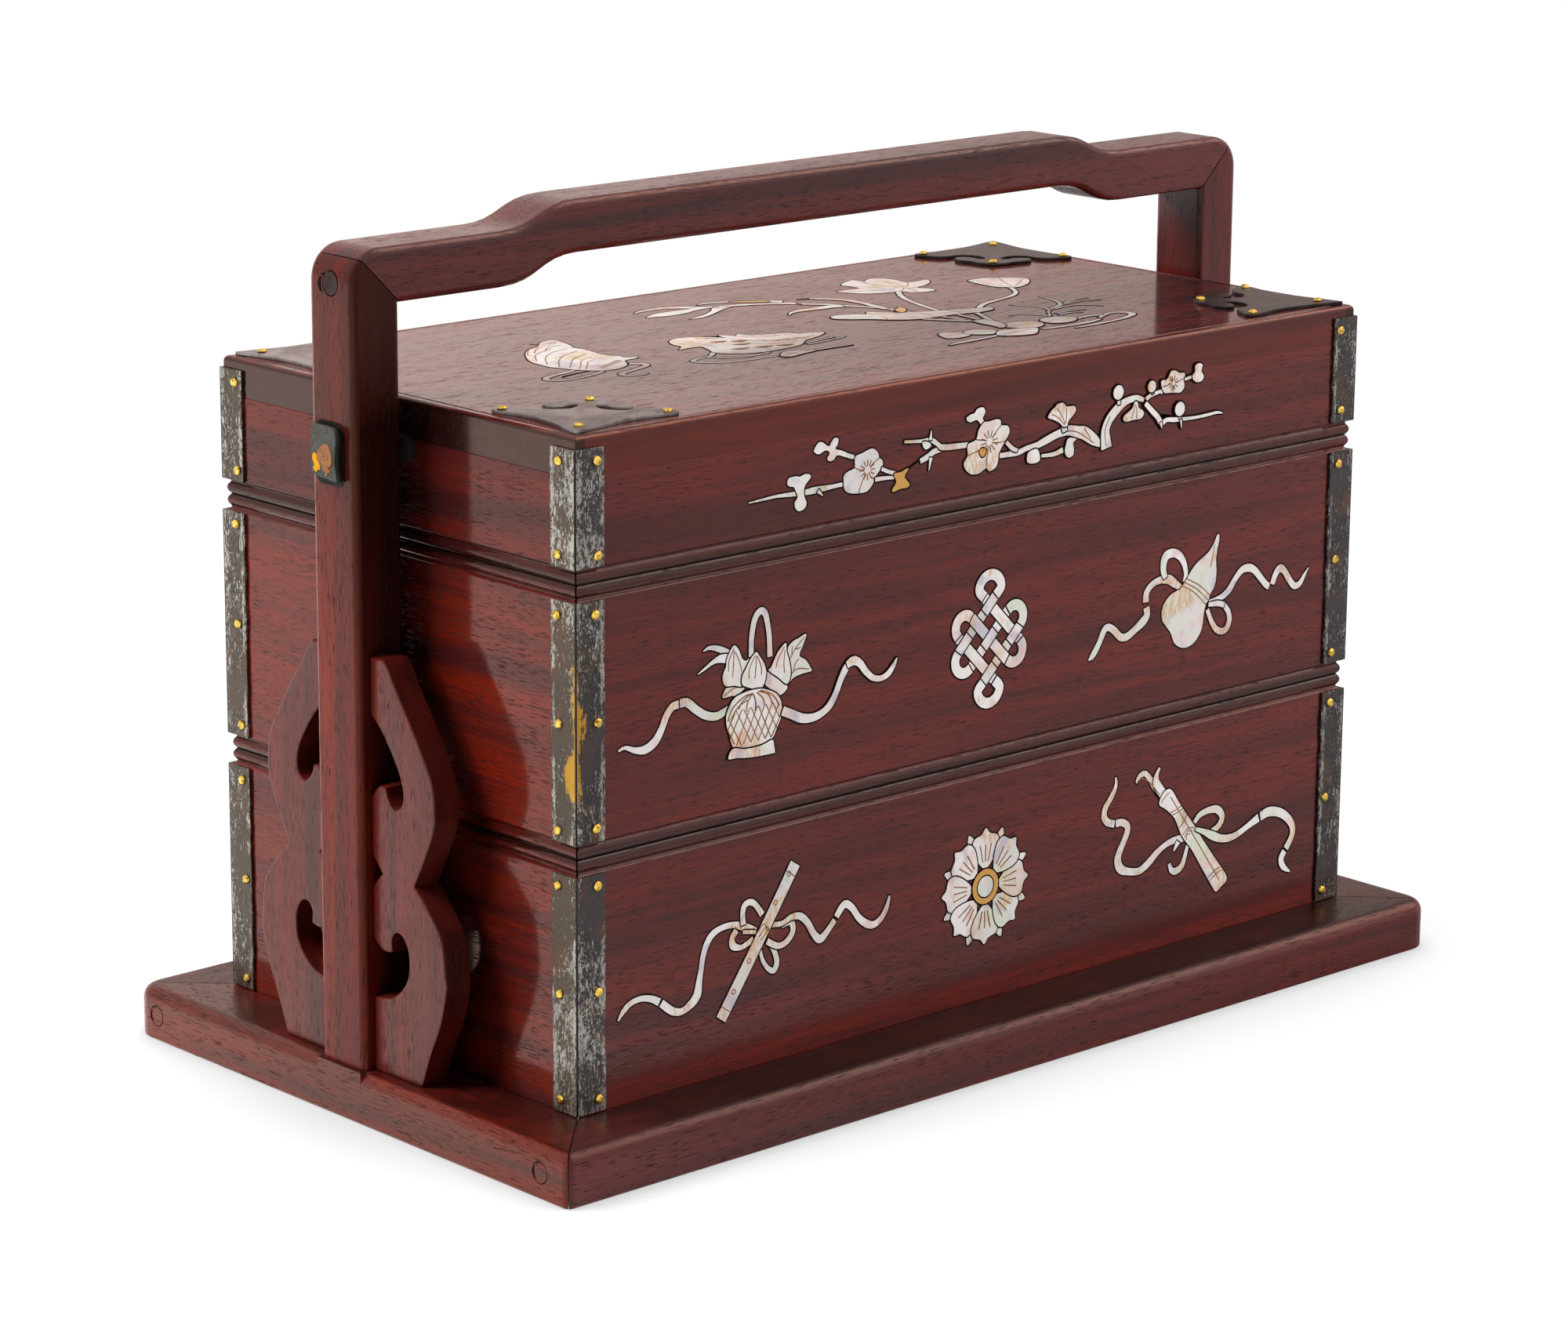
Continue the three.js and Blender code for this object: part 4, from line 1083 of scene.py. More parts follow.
def band_outline(points, steps=5):
    """The two edges of a band drawn as centre points with a width each"""
    path = smooth_path(points, steps)
    left, right = [], []
    for i, point in enumerate(path):
        along = path[min(i + 1, len(path) - 1)] - path[max(i - 1, 0)]
        aside = Vector((-along.y, along.x)).normalized() * point.z / 2
        left.append(point.xy + aside)
        right.append(point.xy - aside)
    return left + right[::-1]


def drawn(kind):
    """A function that names the kind of piece which is drawn through its points"""
    return lambda *points: (kind, points)


# A band, a gap in the glue and a brown fleck have a width at each point; the others are plain
band, gap, fleck, leaf, amber, cut = map(drawn, ("band", "gap", "fleck", "leaf", "amber", "cut"))


def rays(x, y, inner, outer, count, start=0):
    """Cut lines that spread from the middle of a flower"""
    turns = [math.radians(start + 360 * i / count) for i in range(count)]
    return [cut(*((x + r * math.cos(turn), y + r * math.sin(turn)) for r in (inner, outer)))
            for turn in turns]


def circle(x, y, radius, count=14):
    turns = [math.tau * i / count for i in range(count)]
    return [(x + radius * math.cos(turn), y + radius * math.sin(turn)) for turn in turns]


def facing_up(outline):
    """The outline turned counterclockwise"""
    area = sum(a[0] * b[1] - b[0] * a[1] for a, b in zip(outline, outline[1:] + outline[:1]))
    return outline if area > 0 else outline[::-1]


def widened(outline, grow):
    """A counterclockwise outline grown all round"""
    grown = []
    for i, point in enumerate(outline):
        along = Vector(outline[(i + 1) % len(outline)]) - Vector(outline[i - 1])
        grown.append(Vector(point) + Vector((along.y, -along.x)).normalized() * grow)
    return grown


def sheets(name, pieces, rounding):
    """Thin sheets with the given outlines in millimetres, top heights and tones, as one object"""
    vertices, faces, tones = [], [], []
    for outline, top, tone in pieces:
        start = len(vertices)
        vertices += [(x * MM, y * MM, top - rounding) for x, y in outline]
        faces.append(range(start, len(vertices)))
        tones += [tone] * len(outline)
    mesh = bpy.data.meshes.new(name)
    mesh.from_pydata(vertices, [], faces)
    mesh.attributes.new("tone", "FLOAT", "POINT").data.foreach_set("value", tones)
    obj = new_object(name, mesh)
    with editing(obj):
        bpy.ops.mesh.extrude_region_move(TRANSFORM_OT_translate={"value": (0, 0, -0.3 * MM)})
        bpy.ops.mesh.select_all(action="SELECT")
        bpy.ops.mesh.normals_make_consistent(inside=False)
        if rounding:
            bpy.ops.mesh.select_all(action="DESELECT")
            shape = bmesh.from_edit_mesh(mesh)
            for face in shape.faces:
                if face.normal.z > 0.5:
                    face.select_set(True)
            bmesh.update_edit_mesh(mesh)
            bpy.ops.mesh.inset(thickness=rounding, depth=rounding, use_individual=True)
    return obj


def inlaid(scene, name, body, drawing, place):
    """Cuts a drawing's pieces of shell, each in its own dark glue line, and joins them. They
    are laid one over the other in the order of the drawing, which is in millimetres."""
    inlay = scene.box_inlay
    dice = random.Random(name)
    layers = {"shell": [], "glue": [], "cut": []}
    height = 0.05 * MM
    for kind, points in drawing:
        height += inlay.step
        if kind == "cut":
            points = [(x, y, inlay.cut_line / MM) for x, y in points]
        closed = kind in ("leaf", "amber")
        outline = facing_up(smooth_path(points, 4, closed=True) if closed else band_outline(points))
        if kind in ("cut", "fleck", "gap"):
            layers["glue" if kind == "gap" else "cut"].append((outline, height, 0))
        else:
            tone = 1.0 if kind == "amber" else dice.uniform(0.0, 0.8)
            layers["glue"].append((widened(outline, inlay.glue_line / MM), height, 0))
            height += inlay.step
            layers["shell"].append((outline, height, tone))
    materials = {
        "shell": shared(mother_of_pearl, scene), "glue": shared(black_mastic, scene),
        "cut": shared(brown_engraving, scene),
    }
    for layer, pieces in layers.items():
        if pieces:
            obj = sheets(f"{name}_{layer}", pieces, 0.05 * MM if layer == "shell" else 0)
            obj.data.transform(place)
            shade(obj)
            finish_piece(obj, f"{name}_{layer}", body, materials[layer])


def front_place(board, foot):
    """Stands a drawing up on a front board; its heights count from foot at the board's lower edge"""
    low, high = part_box(board)
    return Matrix(((1, 0, 0, 0), (0, 0, -1, low.y), (0, 1, 0, low.z - foot * MM), (0, 0, 0, 1)))


class PICNIC_OT_lid_branch(bpy.types.Operator):
    """Inlays the flowering branch along the front of the lid"""
    bl_idname = "picnic.lid_branch"
    bl_label = "Branch on the lid"

    left_part = [
        band((-95.2, 179.2, .4), (-90, 179.4, .8), (-85, 179.6, .9), (-80, 179.4, 1.3),
            (-74, 179.2, 1.6), (-70, 179.3, 2), (-63.5, 179.4, 1.3), (-59, 179.5, 1.3)),
        band((-69, 179, 1.4), (-67, 177.2, .3)),
        leaf((-80.8, 182.8), (-80, 184.2), (-77.3, 184.3), (-76, 184), (-73.7, 184.5), (-72, 184),
            (-71.9, 183), (-74, 181), (-74.2, 178.3), (-73.3, 176.3), (-73.9, 174.7), (-76, 174.1),
            (-77.5, 175), (-77.9, 176.7), (-76.8, 178.3), (-77.5, 180), (-78.3, 181.3),
            (-80, 181.7)),
        leaf((-70.7, 190.8), (-69.3, 192.5), (-67.7, 192.8), (-65, 191.2), (-64, 192.3),
            (-62.7, 193.3), (-61.3, 192.8), (-61.5, 191.3), (-62.3, 190.1), (-60, 189.3),
            (-57.3, 188.1), (-55.2, 187.3), (-55.5, 186.2), (-58.7, 187.2), (-61.7, 188.1),
            (-63, 187), (-64.7, 186.8), (-65.6, 187.7), (-64.7, 189), (-65.3, 189.9), (-66.7, 190),
            (-68.7, 189.3), (-70.3, 190)),
        leaf((-59, 182.1), (-57.3, 183), (-55, 183.7), (-54.8, 186.7), (-52, 187.5), (-48.3, 188.3),
            (-46, 187), (-45.3, 185.2), (-44.1, 184.3), (-44.1, 182.3), (-45.7, 181),
            (-47.3, 179.3), (-47.7, 178), (-50, 176.1), (-53.3, 176), (-56.7, 176.5),
            (-58.7, 177.7), (-59.2, 180)),
        cut((-55, 183.7), (-52.6, 182.6), (-50.9, 182.8)),
        cut((-45.3, 185.2), (-47.6, 184), (-49, 182.9)),
        cut((-47.3, 179.3), (-48.8, 180.4), (-49.4, 181.6)),
        cut((-53.3, 176), (-52.3, 178.6), (-50.8, 181.4)),
        *rays(-49.9, 182.3, 1.2, 3, 12),
        band((-44.5, 181.9, 1.2), (-42, 180.8, 1.2), (-39, 179.8, 1.2)),
        band((-47, 179.1, 1.4), (-43, 179, 1.2), (-38.7, 178.6, 1)),
        amber((-39.7, 179.7), (-36.7, 180), (-34, 180.8), (-34, 180.2), (-35.3, 178.3),
            (-33.3, 176), (-34.3, 175), (-36.7, 175), (-39.7, 174.5), (-40.3, 175.3),
            (-38.7, 177.3)),
        gap((-34, 180.5, .8), (-30, 182.3, .7)),
        band((-29.3, 182, 1.6), (-26, 183, 1.9), (-24, 184, 1.8), (-20.7, 184.5, 1.8)),
        band((-25, 182.5, 1.4), (-25.8, 178.7, .3)),
        band((-35.7, 188.5, .9), (-32, 188.1, 1), (-28.7, 187.8, 1.1), (-25, 187.6, 1.6),
            (-22.3, 186, 1.4), (-20, 184.8, 1.8), (-10.3, 184.2, 1.7)),
        band((-25.3, 187.6, 1.3), (-25, 190.5, .3)),
        leaf((-28.5, 187.5), (-28, 185.7), (-26.7, 185.1), (-25, 186), (-26.2, 187.2)),
    ]
    middle_part = [
        leaf((-10.9, 192.3), (-9.3, 193), (-7.7, 193.3), (-6.7, 194.3), (-4.3, 194.5), (-3.3, 193),
            (-4.3, 191.3), (-3.7, 190.1), (-5, 189.5), (-6.7, 191), (-9.3, 190.7), (-10.7, 191.3)),
        leaf((-11.7, 179.3), (-10.3, 181), (-10.3, 184.3), (-7, 185.3), (-6, 188), (-4, 190),
            (-2, 190), (1.3, 190.3), (3, 189.7), (3.3, 188.3), (6, 187.7), (6.7, 185.7), (5, 183.3),
            (3, 180.7), (2.3, 178), (1.3, 176), (-1.3, 175.2), (-2.7, 176.3), (-5.3, 175.2),
            (-8.7, 175.3), (-11.3, 177.3)),
        amber((-5.6, 181.6), (-4.4, 182.5), (-2.9, 181.9), (-3.2, 180.4), (-4.6, 179.9)),
        cut((-10.3, 181), (-7, 181.7), (-4.4, 182.5)),
        cut((-7, 185.3), (-4.4, 184.8), (-2.6, 184.4)), cut((3.3, 188.3), (1.2, 186.6), (-.4, 185)),
        cut((5, 183.3), (2.4, 183.2), (-.2, 183.6)),
        cut((-2.7, 176.3), (-2.6, 178.4), (-1.9, 182.4)),
        *rays(-1.5, 184, 1.2, 3.4, 12, 10),
        band((2.7, 179.3, 1.5), (10, 179.2, 1.8), (14, 180, 1.6), (18, 180.3, 2), (22, 181.3, 2.4),
            (26.7, 182.5, 2.4), (31.3, 183, 3), (35.3, 182, 3.5), (38, 181.3, 4), (42, 178.8, 3.5),
            (45, 176.8, 1.5)),
        band((5.3, 183, 1.3), (8, 180.7, 1.4), (10, 179.9, 1.2)),
        cut((29, 183), (35, 182), (42, 177.8)), cut((38, 182.7), (40.7, 179.3)),
        leaf((14, 177.3), (14.7, 178.8), (18, 179.3), (19.3, 177.3), (19.2, 175.5), (16.7, 175),
            (14.3, 175.7)),
        band((20, 176.9, 1), (25.3, 176.7, 1.4), (29, 177.5, 1.8)),
        leaf((31.3, 180.7), (30, 178.3), (29.9, 176.3), (31.3, 174.8), (33.3, 175.2), (33.7, 177),
            (33.3, 179), (34.7, 180)),
        band((29.7, 182.8, 2), (29.3, 184.6, 2.5)),
        leaf((22.5, 188.5), (24, 190), (25.3, 190.7), (26.3, 191.5), (28.7, 191.6), (30.3, 190.3),
            (33.3, 190.1), (34.2, 188.7), (32.7, 187), (31, 185.7), (30.7, 184.5), (29, 184.3),
            (27.3, 185.7), (24.7, 187), (22.7, 187.7)),
        cut((29.6, 185), (28.4, 187.6), (26, 190.4)),
        cut((29.9, 185.2), (30.2, 187.6), (30.3, 190)),
        cut((29.3, 185), (26.6, 187.5), (24, 188.7)),
    ]
    right_part = [
        band((47.5, 175.4, 4.6), (47, 178.5, 4), (46.9, 181, 3.4), (48.2, 183.7, 3.2),
            (50.4, 185.8, 3.1), (53, 187.5, 2.9), (56, 188.7, 2.2), (60, 189, 1.9),
            (63.2, 188, 1.3)),
        cut((47.3, 176), (46.7, 181), (48.8, 185)),
        band((52.5, 188, 1.4), (52.2, 190, 1.2)),
        leaf(*circle(52.1, 191.7, 2.2)),
        leaf((59.3, 188), (58.3, 186.3), (56.7, 185.3), (54.7, 184.3), (54.5, 183), (56, 182.3),
            (58, 182.5), (60, 182.5), (62, 182.5), (63.3, 183.7), (62.7, 185), (61, 186),
            (60.5, 187.7)),
        cut((59.3, 187), (58.6, 184.6), (58, 182.9)), cut((59.6, 187), (60.2, 185), (60, 182.9)),
        band((64, 188.1, 1.5), (66, 189, 1.3), (70, 189.7, 1.2), (71.3, 189.3, 1.5)),
        band((67, 189.4, 1), (66.6, 190.6, 1)),
        leaf(*circle(66.5, 191.7, 1.8)),
        leaf((70.5, 191.7), (70.7, 193), (73, 193.1), (74.7, 195.3), (77, 195.2), (78, 194.5),
            (80.7, 194), (80.5, 192), (80.7, 189.7), (79, 188.3), (76.7, 188.5), (74, 188.8),
            (72, 189), (71, 190.3)),
        cut((70.9, 191), (73.4, 191.2), (75, 191.6)), cut((74, 193.9), (75, 192.8), (75.6, 191.9)),
        cut((80.4, 192.4), (78.4, 192), (76.4, 191.6)),
        cut((75.6, 188.8), (75.8, 190.2), (75.9, 191)),
        *rays(75.8, 191.6, .8, 2.2, 10),
        band((80.7, 192.1, 1), (84, 192.5, 1)),
        leaf((84, 192.7), (85.2, 194), (85.2, 195.7), (87, 196.3), (88.5, 195.5), (88.1, 193.7),
            (89.2, 192), (88.3, 190.7), (86.3, 190.5), (84.7, 191.3)),
        band((63.7, 187, 1.6), (66.7, 184.3, 1.8), (69.3, 182, 1.8), (71, 180, 1.8),
            (73.3, 180.7, 1.4), (76.7, 180.3, 1.5), (80.7, 180, 1.2), (86, 179.8, 1),
            (91.3, 179.9, 1), (95.3, 180.1, .9), (98, 179.6, .4)),
        band((70.6, 180.3, 1.2), (71.2, 178.3, .3)),
        band((79.5, 180, 1.1), (79.9, 177.2, .3)),
        band((79, 180.3, 1), (78.9, 181.8, 1)),
        leaf(*circle(78.9, 183.3, 2.2)),
    ]

    def execute(self, context):
        drawing = self.left_part + self.middle_part + self.right_part
        inlaid(context.scene, "lid_branch", "lid", drawing, front_place("lid_front_board", 165))
        return {"FINISHED"}


class PICNIC_OT_tier_emblems(bpy.types.Operator):
    """Inlays the beribboned emblems and the middle roundels on the fronts of the tiers"""
    bl_idname = "picnic.tier_emblems"
    bl_label = "Emblems on the tiers"

    basket = [
        band((-142.8, 116.6, .8), (-140.3, 117.2, 1.2), (-136.7, 115.8, 1.8), (-133.1, 115.4, 2.6),
            (-129.6, 116.9, 2.8), (-127.1, 120.1, 2.4), (-125.3, 123.6, 2.4), (-123.1, 125.8, 2.4),
            (-120.5, 126.1, 2.4)),
        band((-120.4, 126.2, 2.6), (-117.8, 126.1, 2.6), (-114.6, 123.6, 2.5), (-111, 121.3, 2.5),
            (-107.4, 120.3, 2.4), (-104.6, 120.8, 2.3), (-102.4, 121.9, 1.6)),
        band((-111.9, 139.6, .4), (-109.6, 140.3, 1.2), (-106, 139.4, 1.8), (-102.4, 137.6, 2)),
        band((-113.9, 133.4, .3), (-111.7, 134.4, .8), (-108.1, 136, 1.4), (-105.3, 136.5, 2.4),
            (-102.4, 136, 2.8)),
        leaf((-104.6, 125.1), (-103.9, 127.2), (-101.7, 128.4), (-98.1, 127.9), (-96, 126.9),
            (-98.9, 125.1), (-101.7, 125.1)),
        cut((-104, 125.6), (-101, 127), (-97.6, 127.4)),
        leaf((-100.3, 139.6), (-101.7, 138.4), (-103.1, 136.1), (-103.4, 134), (-104.4, 132.2),
            (-104.6, 130.1), (-103.5, 128.3), (-100.3, 127.9), (-96.7, 127.2), (-96, 130),
            (-94.6, 134.7), (-96, 134.4), (-97.4, 135.4), (-98.5, 137.9)),
        cut((-100.4, 138.6), (-102.3, 135.4), (-102.4, 132.4)),
        cut((-100.4, 138), (-100.6, 134), (-100.9, 130.4)),
        cut((-100, 137.6), (-98.4, 134.6), (-97.4, 131.4)),
        band((-94, 135.2, 1.8), (-93.9, 140, 1.9), (-93.4, 143.4, 2), (-92.6, 145.9, 2.1),
            (-91.4, 147.4, 2.1), (-90, 147.8, 2.1), (-88.7, 146.6, 2.1), (-87.9, 143.8, 1.9),
            (-87.2, 140, 1.9), (-86.9, 134, 2)),
        leaf((-87.4, 130.1), (-88.9, 126.9), (-86.5, 124.5), (-83.1, 122.2), (-80.1, 124.1),
            (-83.1, 126.9)),
        leaf((-80.3, 134.7), (-78.5, 136.9), (-76, 137.7), (-73, 138.4), (-74.2, 135.4),
            (-75.6, 132.6), (-73.1, 130.8), (-71, 127.9), (-71, 127.2), (-74.6, 127),
            (-78.1, 126.3), (-79.9, 124.7), (-79.2, 127.6)),
        cut((-79.4, 132), (-77, 135), (-73.8, 137.6)), cut((-78.6, 133.4), (-78.4, 135.8)),
        cut((-77.3, 134.6), (-75.2, 134.8)), cut((-79.4, 127), (-76.6, 128.8), (-72, 128)),
        cut((-78, 128), (-77.2, 130.6), (-75.8, 131.6)),
        leaf((-80.9, 137.1), (-83.5, 135.4), (-84.9, 133.6), (-86.4, 131.1), (-87.4, 130.1),
            (-83.9, 127.6), (-80.6, 125.1), (-79.2, 126.5), (-79, 129), (-79.6, 131.9),
            (-80.6, 134.7)),
        cut((-81.4, 136), (-83.8, 133), (-84.6, 130.4)),
        cut((-81.2, 135), (-81.6, 131.6), (-81.4, 128.4)),
        leaf((-92.1, 136.3), (-94.2, 134.7), (-96, 132.2), (-97.4, 130.1), (-97.4, 127.9),
            (-96, 126.9), (-93.1, 125.8), (-90.6, 125.3), (-88.9, 126.9), (-88.3, 129.4),
            (-88.5, 131.1), (-89.6, 133.3), (-91, 135.1)),
        cut((-92.4, 135.4), (-94.6, 132), (-94.8, 129)),
        cut((-92.1, 135), (-92.3, 131.4), (-92.6, 128.6)),
        cut((-91.8, 135.2), (-90.2, 131.6), (-90.2, 129.4)),
        leaf((-103.4, 119.4), (-102.4, 121.9), (-100.3, 124.4), (-96.5, 125.4), (-93, 125.6),
            (-89.6, 125.3), (-85.3, 123.6), (-83.1, 121.5), (-82.3, 119), (-82.4, 116.1),
            (-83.9, 113.3), (-85.9, 110.1), (-88.9, 109.1), (-94.6, 109.1), (-98.9, 109.9),
            (-100.9, 110.4), (-102.1, 114), (-103.1, 116.5)),
        *[cut((a, 120.6), (b, 110.6))
            for a, b in ((-99.6, -94), (-96.8, -91.2), (-94, -88.6), (-91.2, -86.4), (-94.4, -99.4),
            (-91.6, -96.8), (-88.8, -94), (-86, -91.2))],
        cut((-102.6, 119), (-97.4, 110)), cut((-102.8, 115.6), (-100.2, 111)),
        cut((-88.4, 120.6), (-84.2, 113)), cut((-85.8, 120.6), (-83, 115.6)),
        cut((-97.4, 120.6), (-101.8, 113)), cut((-100, 120), (-102.8, 115.4)),
        cut((-83.4, 120), (-88.6, 110.6)), cut((-83, 116), (-86.2, 110.8)),
        cut((-102.8, 118), (-101, 121.4), (-97, 124), (-93.4, 124.6)),
        cut((-101.6, 118.4), (-99, 121.4), (-95.4, 123)),
        cut((-98.6, 120.8), (-97.4, 122.8), (-94.4, 124.4)),
        cut((-95.6, 119.6), (-95.4, 122), (-93.4, 124.4), (-92.2, 121.4), (-92.6, 119.4)),
        cut((-91.8, 124.6), (-89.6, 122.6), (-88.8, 120.4)),
        cut((-91.2, 124.8), (-87.6, 123.4), (-86, 120.6)),
        cut((-90.4, 125), (-85.8, 122.8), (-83.2, 119.4)),
        leaf((-100.9, 109.9), (-102.6, 107.2), (-99.6, 106.9), (-93.9, 106.1), (-85.6, 105.8),
            (-84.9, 106.1), (-85.3, 108.3), (-86, 109.9), (-90, 109), (-96, 109)),
        band((-82.2, 117.6, 2.8), (-78.9, 116.1, 2.8), (-74.6, 114.1, 2.8), (-70.3, 113.6, 2.5),
            (-66.7, 114.4, 2.3), (-63.9, 116.1, 2.4), (-61.7, 119, 2.2), (-59.9, 122.6, 2.2),
            (-58.1, 125.4, 2.5), (-57.1, 126.9, 2)),
        band((-57.4, 126.7, 2.2), (-54.9, 127.6, 2.8), (-52.4, 126.5, 2.4), (-49.9, 123.6, 2.1),
            (-47.1, 121.3, 1.9), (-43.9, 120.6, 1.8), (-41, 121.5, 2), (-38.9, 123.6, 1.6),
            (-37.6, 125.6, .5)),
    ]
    gourd = [
        band((42.1, 111.4, .5), (44.1, 112.8, 2.2), (46.6, 116, 2.2), (48.7, 119.6, 2.3),
            (50.5, 120.3, 2.3), (53, 118.9, 2.4), (55.9, 116.4, 2.4), (58.7, 116.1, 2.5),
            (62.3, 117.8, 2.5), (65.5, 119.6, 3), (67.3, 121.4, 2.6), (66.9, 123.9, 2.6)),
        band((66.6, 125.4, 2.6), (66.9, 128.5, 2.4), (69.4, 130.6, 2.2), (73, 131.4, 2.4),
            (76.6, 131, 3), (79.4, 129.2, 2.6), (82.4, 127.4, 1.6)),
        band((83.4, 129.2, 1.6), (84.1, 131.7, 1.8), (83, 135.3, 2.2), (80.9, 137.8, 2.6),
            (78, 139, 2.8), (75.1, 138.5, 3), (74.1, 136.4, 2.8), (74.1, 133.9, 2.4),
            (75.1, 131.7, 2)),
        leaf((98.6, 141.8), (97.6, 141.6), (96.2, 139.2), (93.7, 136.7), (89.4, 134.6),
            (86.6, 132.4), (84.4, 129.9), (81.9, 127.4), (80.1, 126.9), (77.3, 126), (74.8, 123.9),
            (73.7, 121.4), (74.1, 118.5), (75.9, 116.4), (78, 113.9), (79.4, 111), (81.6, 109.2),
            (84.4, 108.3), (87.3, 108.7), (89.4, 109.9), (91.6, 112.4), (92.4, 115.3),
            (92.9, 118.9), (93.7, 121), (94.8, 121.7), (95.1, 123.1), (97.3, 126), (97.9, 129.6),
            (97.6, 133.9), (97.9, 136.7), (98.7, 139.9)),
        cut((82.4, 128.2), (88, 125.2), (93.4, 120.6)),
        cut((83.2, 129.2), (89, 126.2), (94.4, 121.8)),
        cut((84, 130.2), (90, 127.2), (95.2, 123.2)), cut((96.6, 139), (96.2, 136), (95, 132)),
        band((94.8, 121, 1.6), (100.1, 121.7, 2), (103.7, 123.5, 2.4), (106.6, 126.7, 2.2),
            (109.4, 128.9, 2.4), (112.3, 129.2, 2.6), (115.1, 128.1, 2.4), (118, 125.3, 2.2),
            (120.5, 122.8, 2.2), (122.3, 121.7, 2.2)),
        band((123.6, 122.2, 2.2), (125, 125.2, 2.4), (127, 126.8, 2.6), (129.1, 125.6, 2.3),
            (131.6, 122.4, 2.2), (134.1, 120.1, 2.2), (136.6, 120.6, 2), (138.4, 122.8, 1.4),
            (140.5, 125.1, .4)),
        band((94.1, 118.9, 1.6), (95.9, 115.3, 1.8), (98, 112.4, 2), (100.5, 111, 2.2),
            (103, 111.4, 2.2), (104.3, 113.9, 2.2), (103.7, 116.7, 2), (101.6, 119.2, 1.8)),
        band((101.8, 119.1, 1.8), (98.7, 120.1, 1.8), (94.6, 120.3, 1.4)),
    ]
    flute = [
        band((-143.1, 39.2, .6), (-141, 41.7, 1.8), (-138.1, 43.5, 1.8), (-134.6, 43.9, 1.8),
            (-131, 43.1, 2), (-127.8, 41.4, 2.4)),
        band((-127.2, 41, 2.4), (-123.1, 37.8, 2.4), (-119.6, 36.9, 2.2), (-116.4, 38.1, 2.6),
            (-113.9, 40.3, 3), (-113.1, 43.9, 2.4), (-112.4, 47.4, 2), (-111.7, 51, 2),
            (-110.3, 54.6, 2.2), (-108.1, 57.1, 2.2), (-104.6, 58.3, 1.9), (-100.3, 58.3, 1.9),
            (-96.7, 57.1, 2.4), (-93.1, 55.6, 2), (-91.4, 54.9, 1.2)),
        band((-96.4, 57.4, 2), (-96.7, 60.6, 1.9), (-96, 63.1, 2), (-93.9, 63.7, 2),
            (-91.7, 62.4, 1.8), (-89.2, 59, 2)),
        band((-98.9, 56.4, 2), (-100.6, 54.6, 2), (-100.3, 52.1, 2.4), (-97.4, 51, 1.6),
            (-94.6, 51.7, 1.8), (-92.6, 52.8, 1.5)),
        band((-96.6, 55.4, 1.2), (-91.6, 54.4, 1.2)),
        band((-89.9, 48.5, 1.2), (-88.9, 45.3, 1.4), (-86.7, 42.4, 1.6), (-84.6, 41.6, 2),
            (-83.5, 43.9, 2), (-84.6, 47.4, 1.8), (-86, 49.9, 2.2)),
        band((-81.7, 54, 1.2), (-78.1, 54.6, 2), (-77.4, 51.7, 2), (-79.6, 49.2, 2),
            (-83.1, 48.5, 1.9), (-87.4, 50.8, 2)),
        band((-86.6, 55.4, 1.6), (-81.7, 54.9, 1.6), (-78.1, 56, 1.9), (-74.6, 55.6, 2.2),
            (-71.7, 53.1, 2.2), (-69.2, 49.2, 2.2), (-66.7, 47.1, 2.6), (-63.9, 48.9, 2.2),
            (-61, 51.7, 2)),
        band((-60.4, 52.4, 2.2), (-58.6, 54.6, 2.4), (-56.7, 55.6, 2.4), (-54.2, 53.9, 2.2),
            (-51.4, 50.3, 2.2), (-48.1, 47.8, 2.4), (-45.3, 47.1, 2.2), (-42.4, 48.5, 2),
            (-40.3, 51.4, 1.8), (-39.2, 54.6, .8)),
        band((-104.9, 31.2, 4.2), (-98, 40.8, 4.1), (-90, 52.2, 4), (-82, 63.8, 4),
            (-76.6, 71.8, 4.2)),
        *[cut(*circle(x, y, .7, 8), (x + .7, y))
            for x, y in ((-79.1, 69.1), (-84.2, 61.6), (-94.2, 46.4), (-100.1, 38.5))],
        cut((-104.6, 35), (-101, 32.5)), cut((-80, 70.2), (-76.7, 67.9)),
        *[cut((-91.6 + s, 53.6 - s), (-88.6 + s, 56.2 - s), (-87.3 + s, 53.6 - s))
            for s in (0, 1, 2)],
    ]
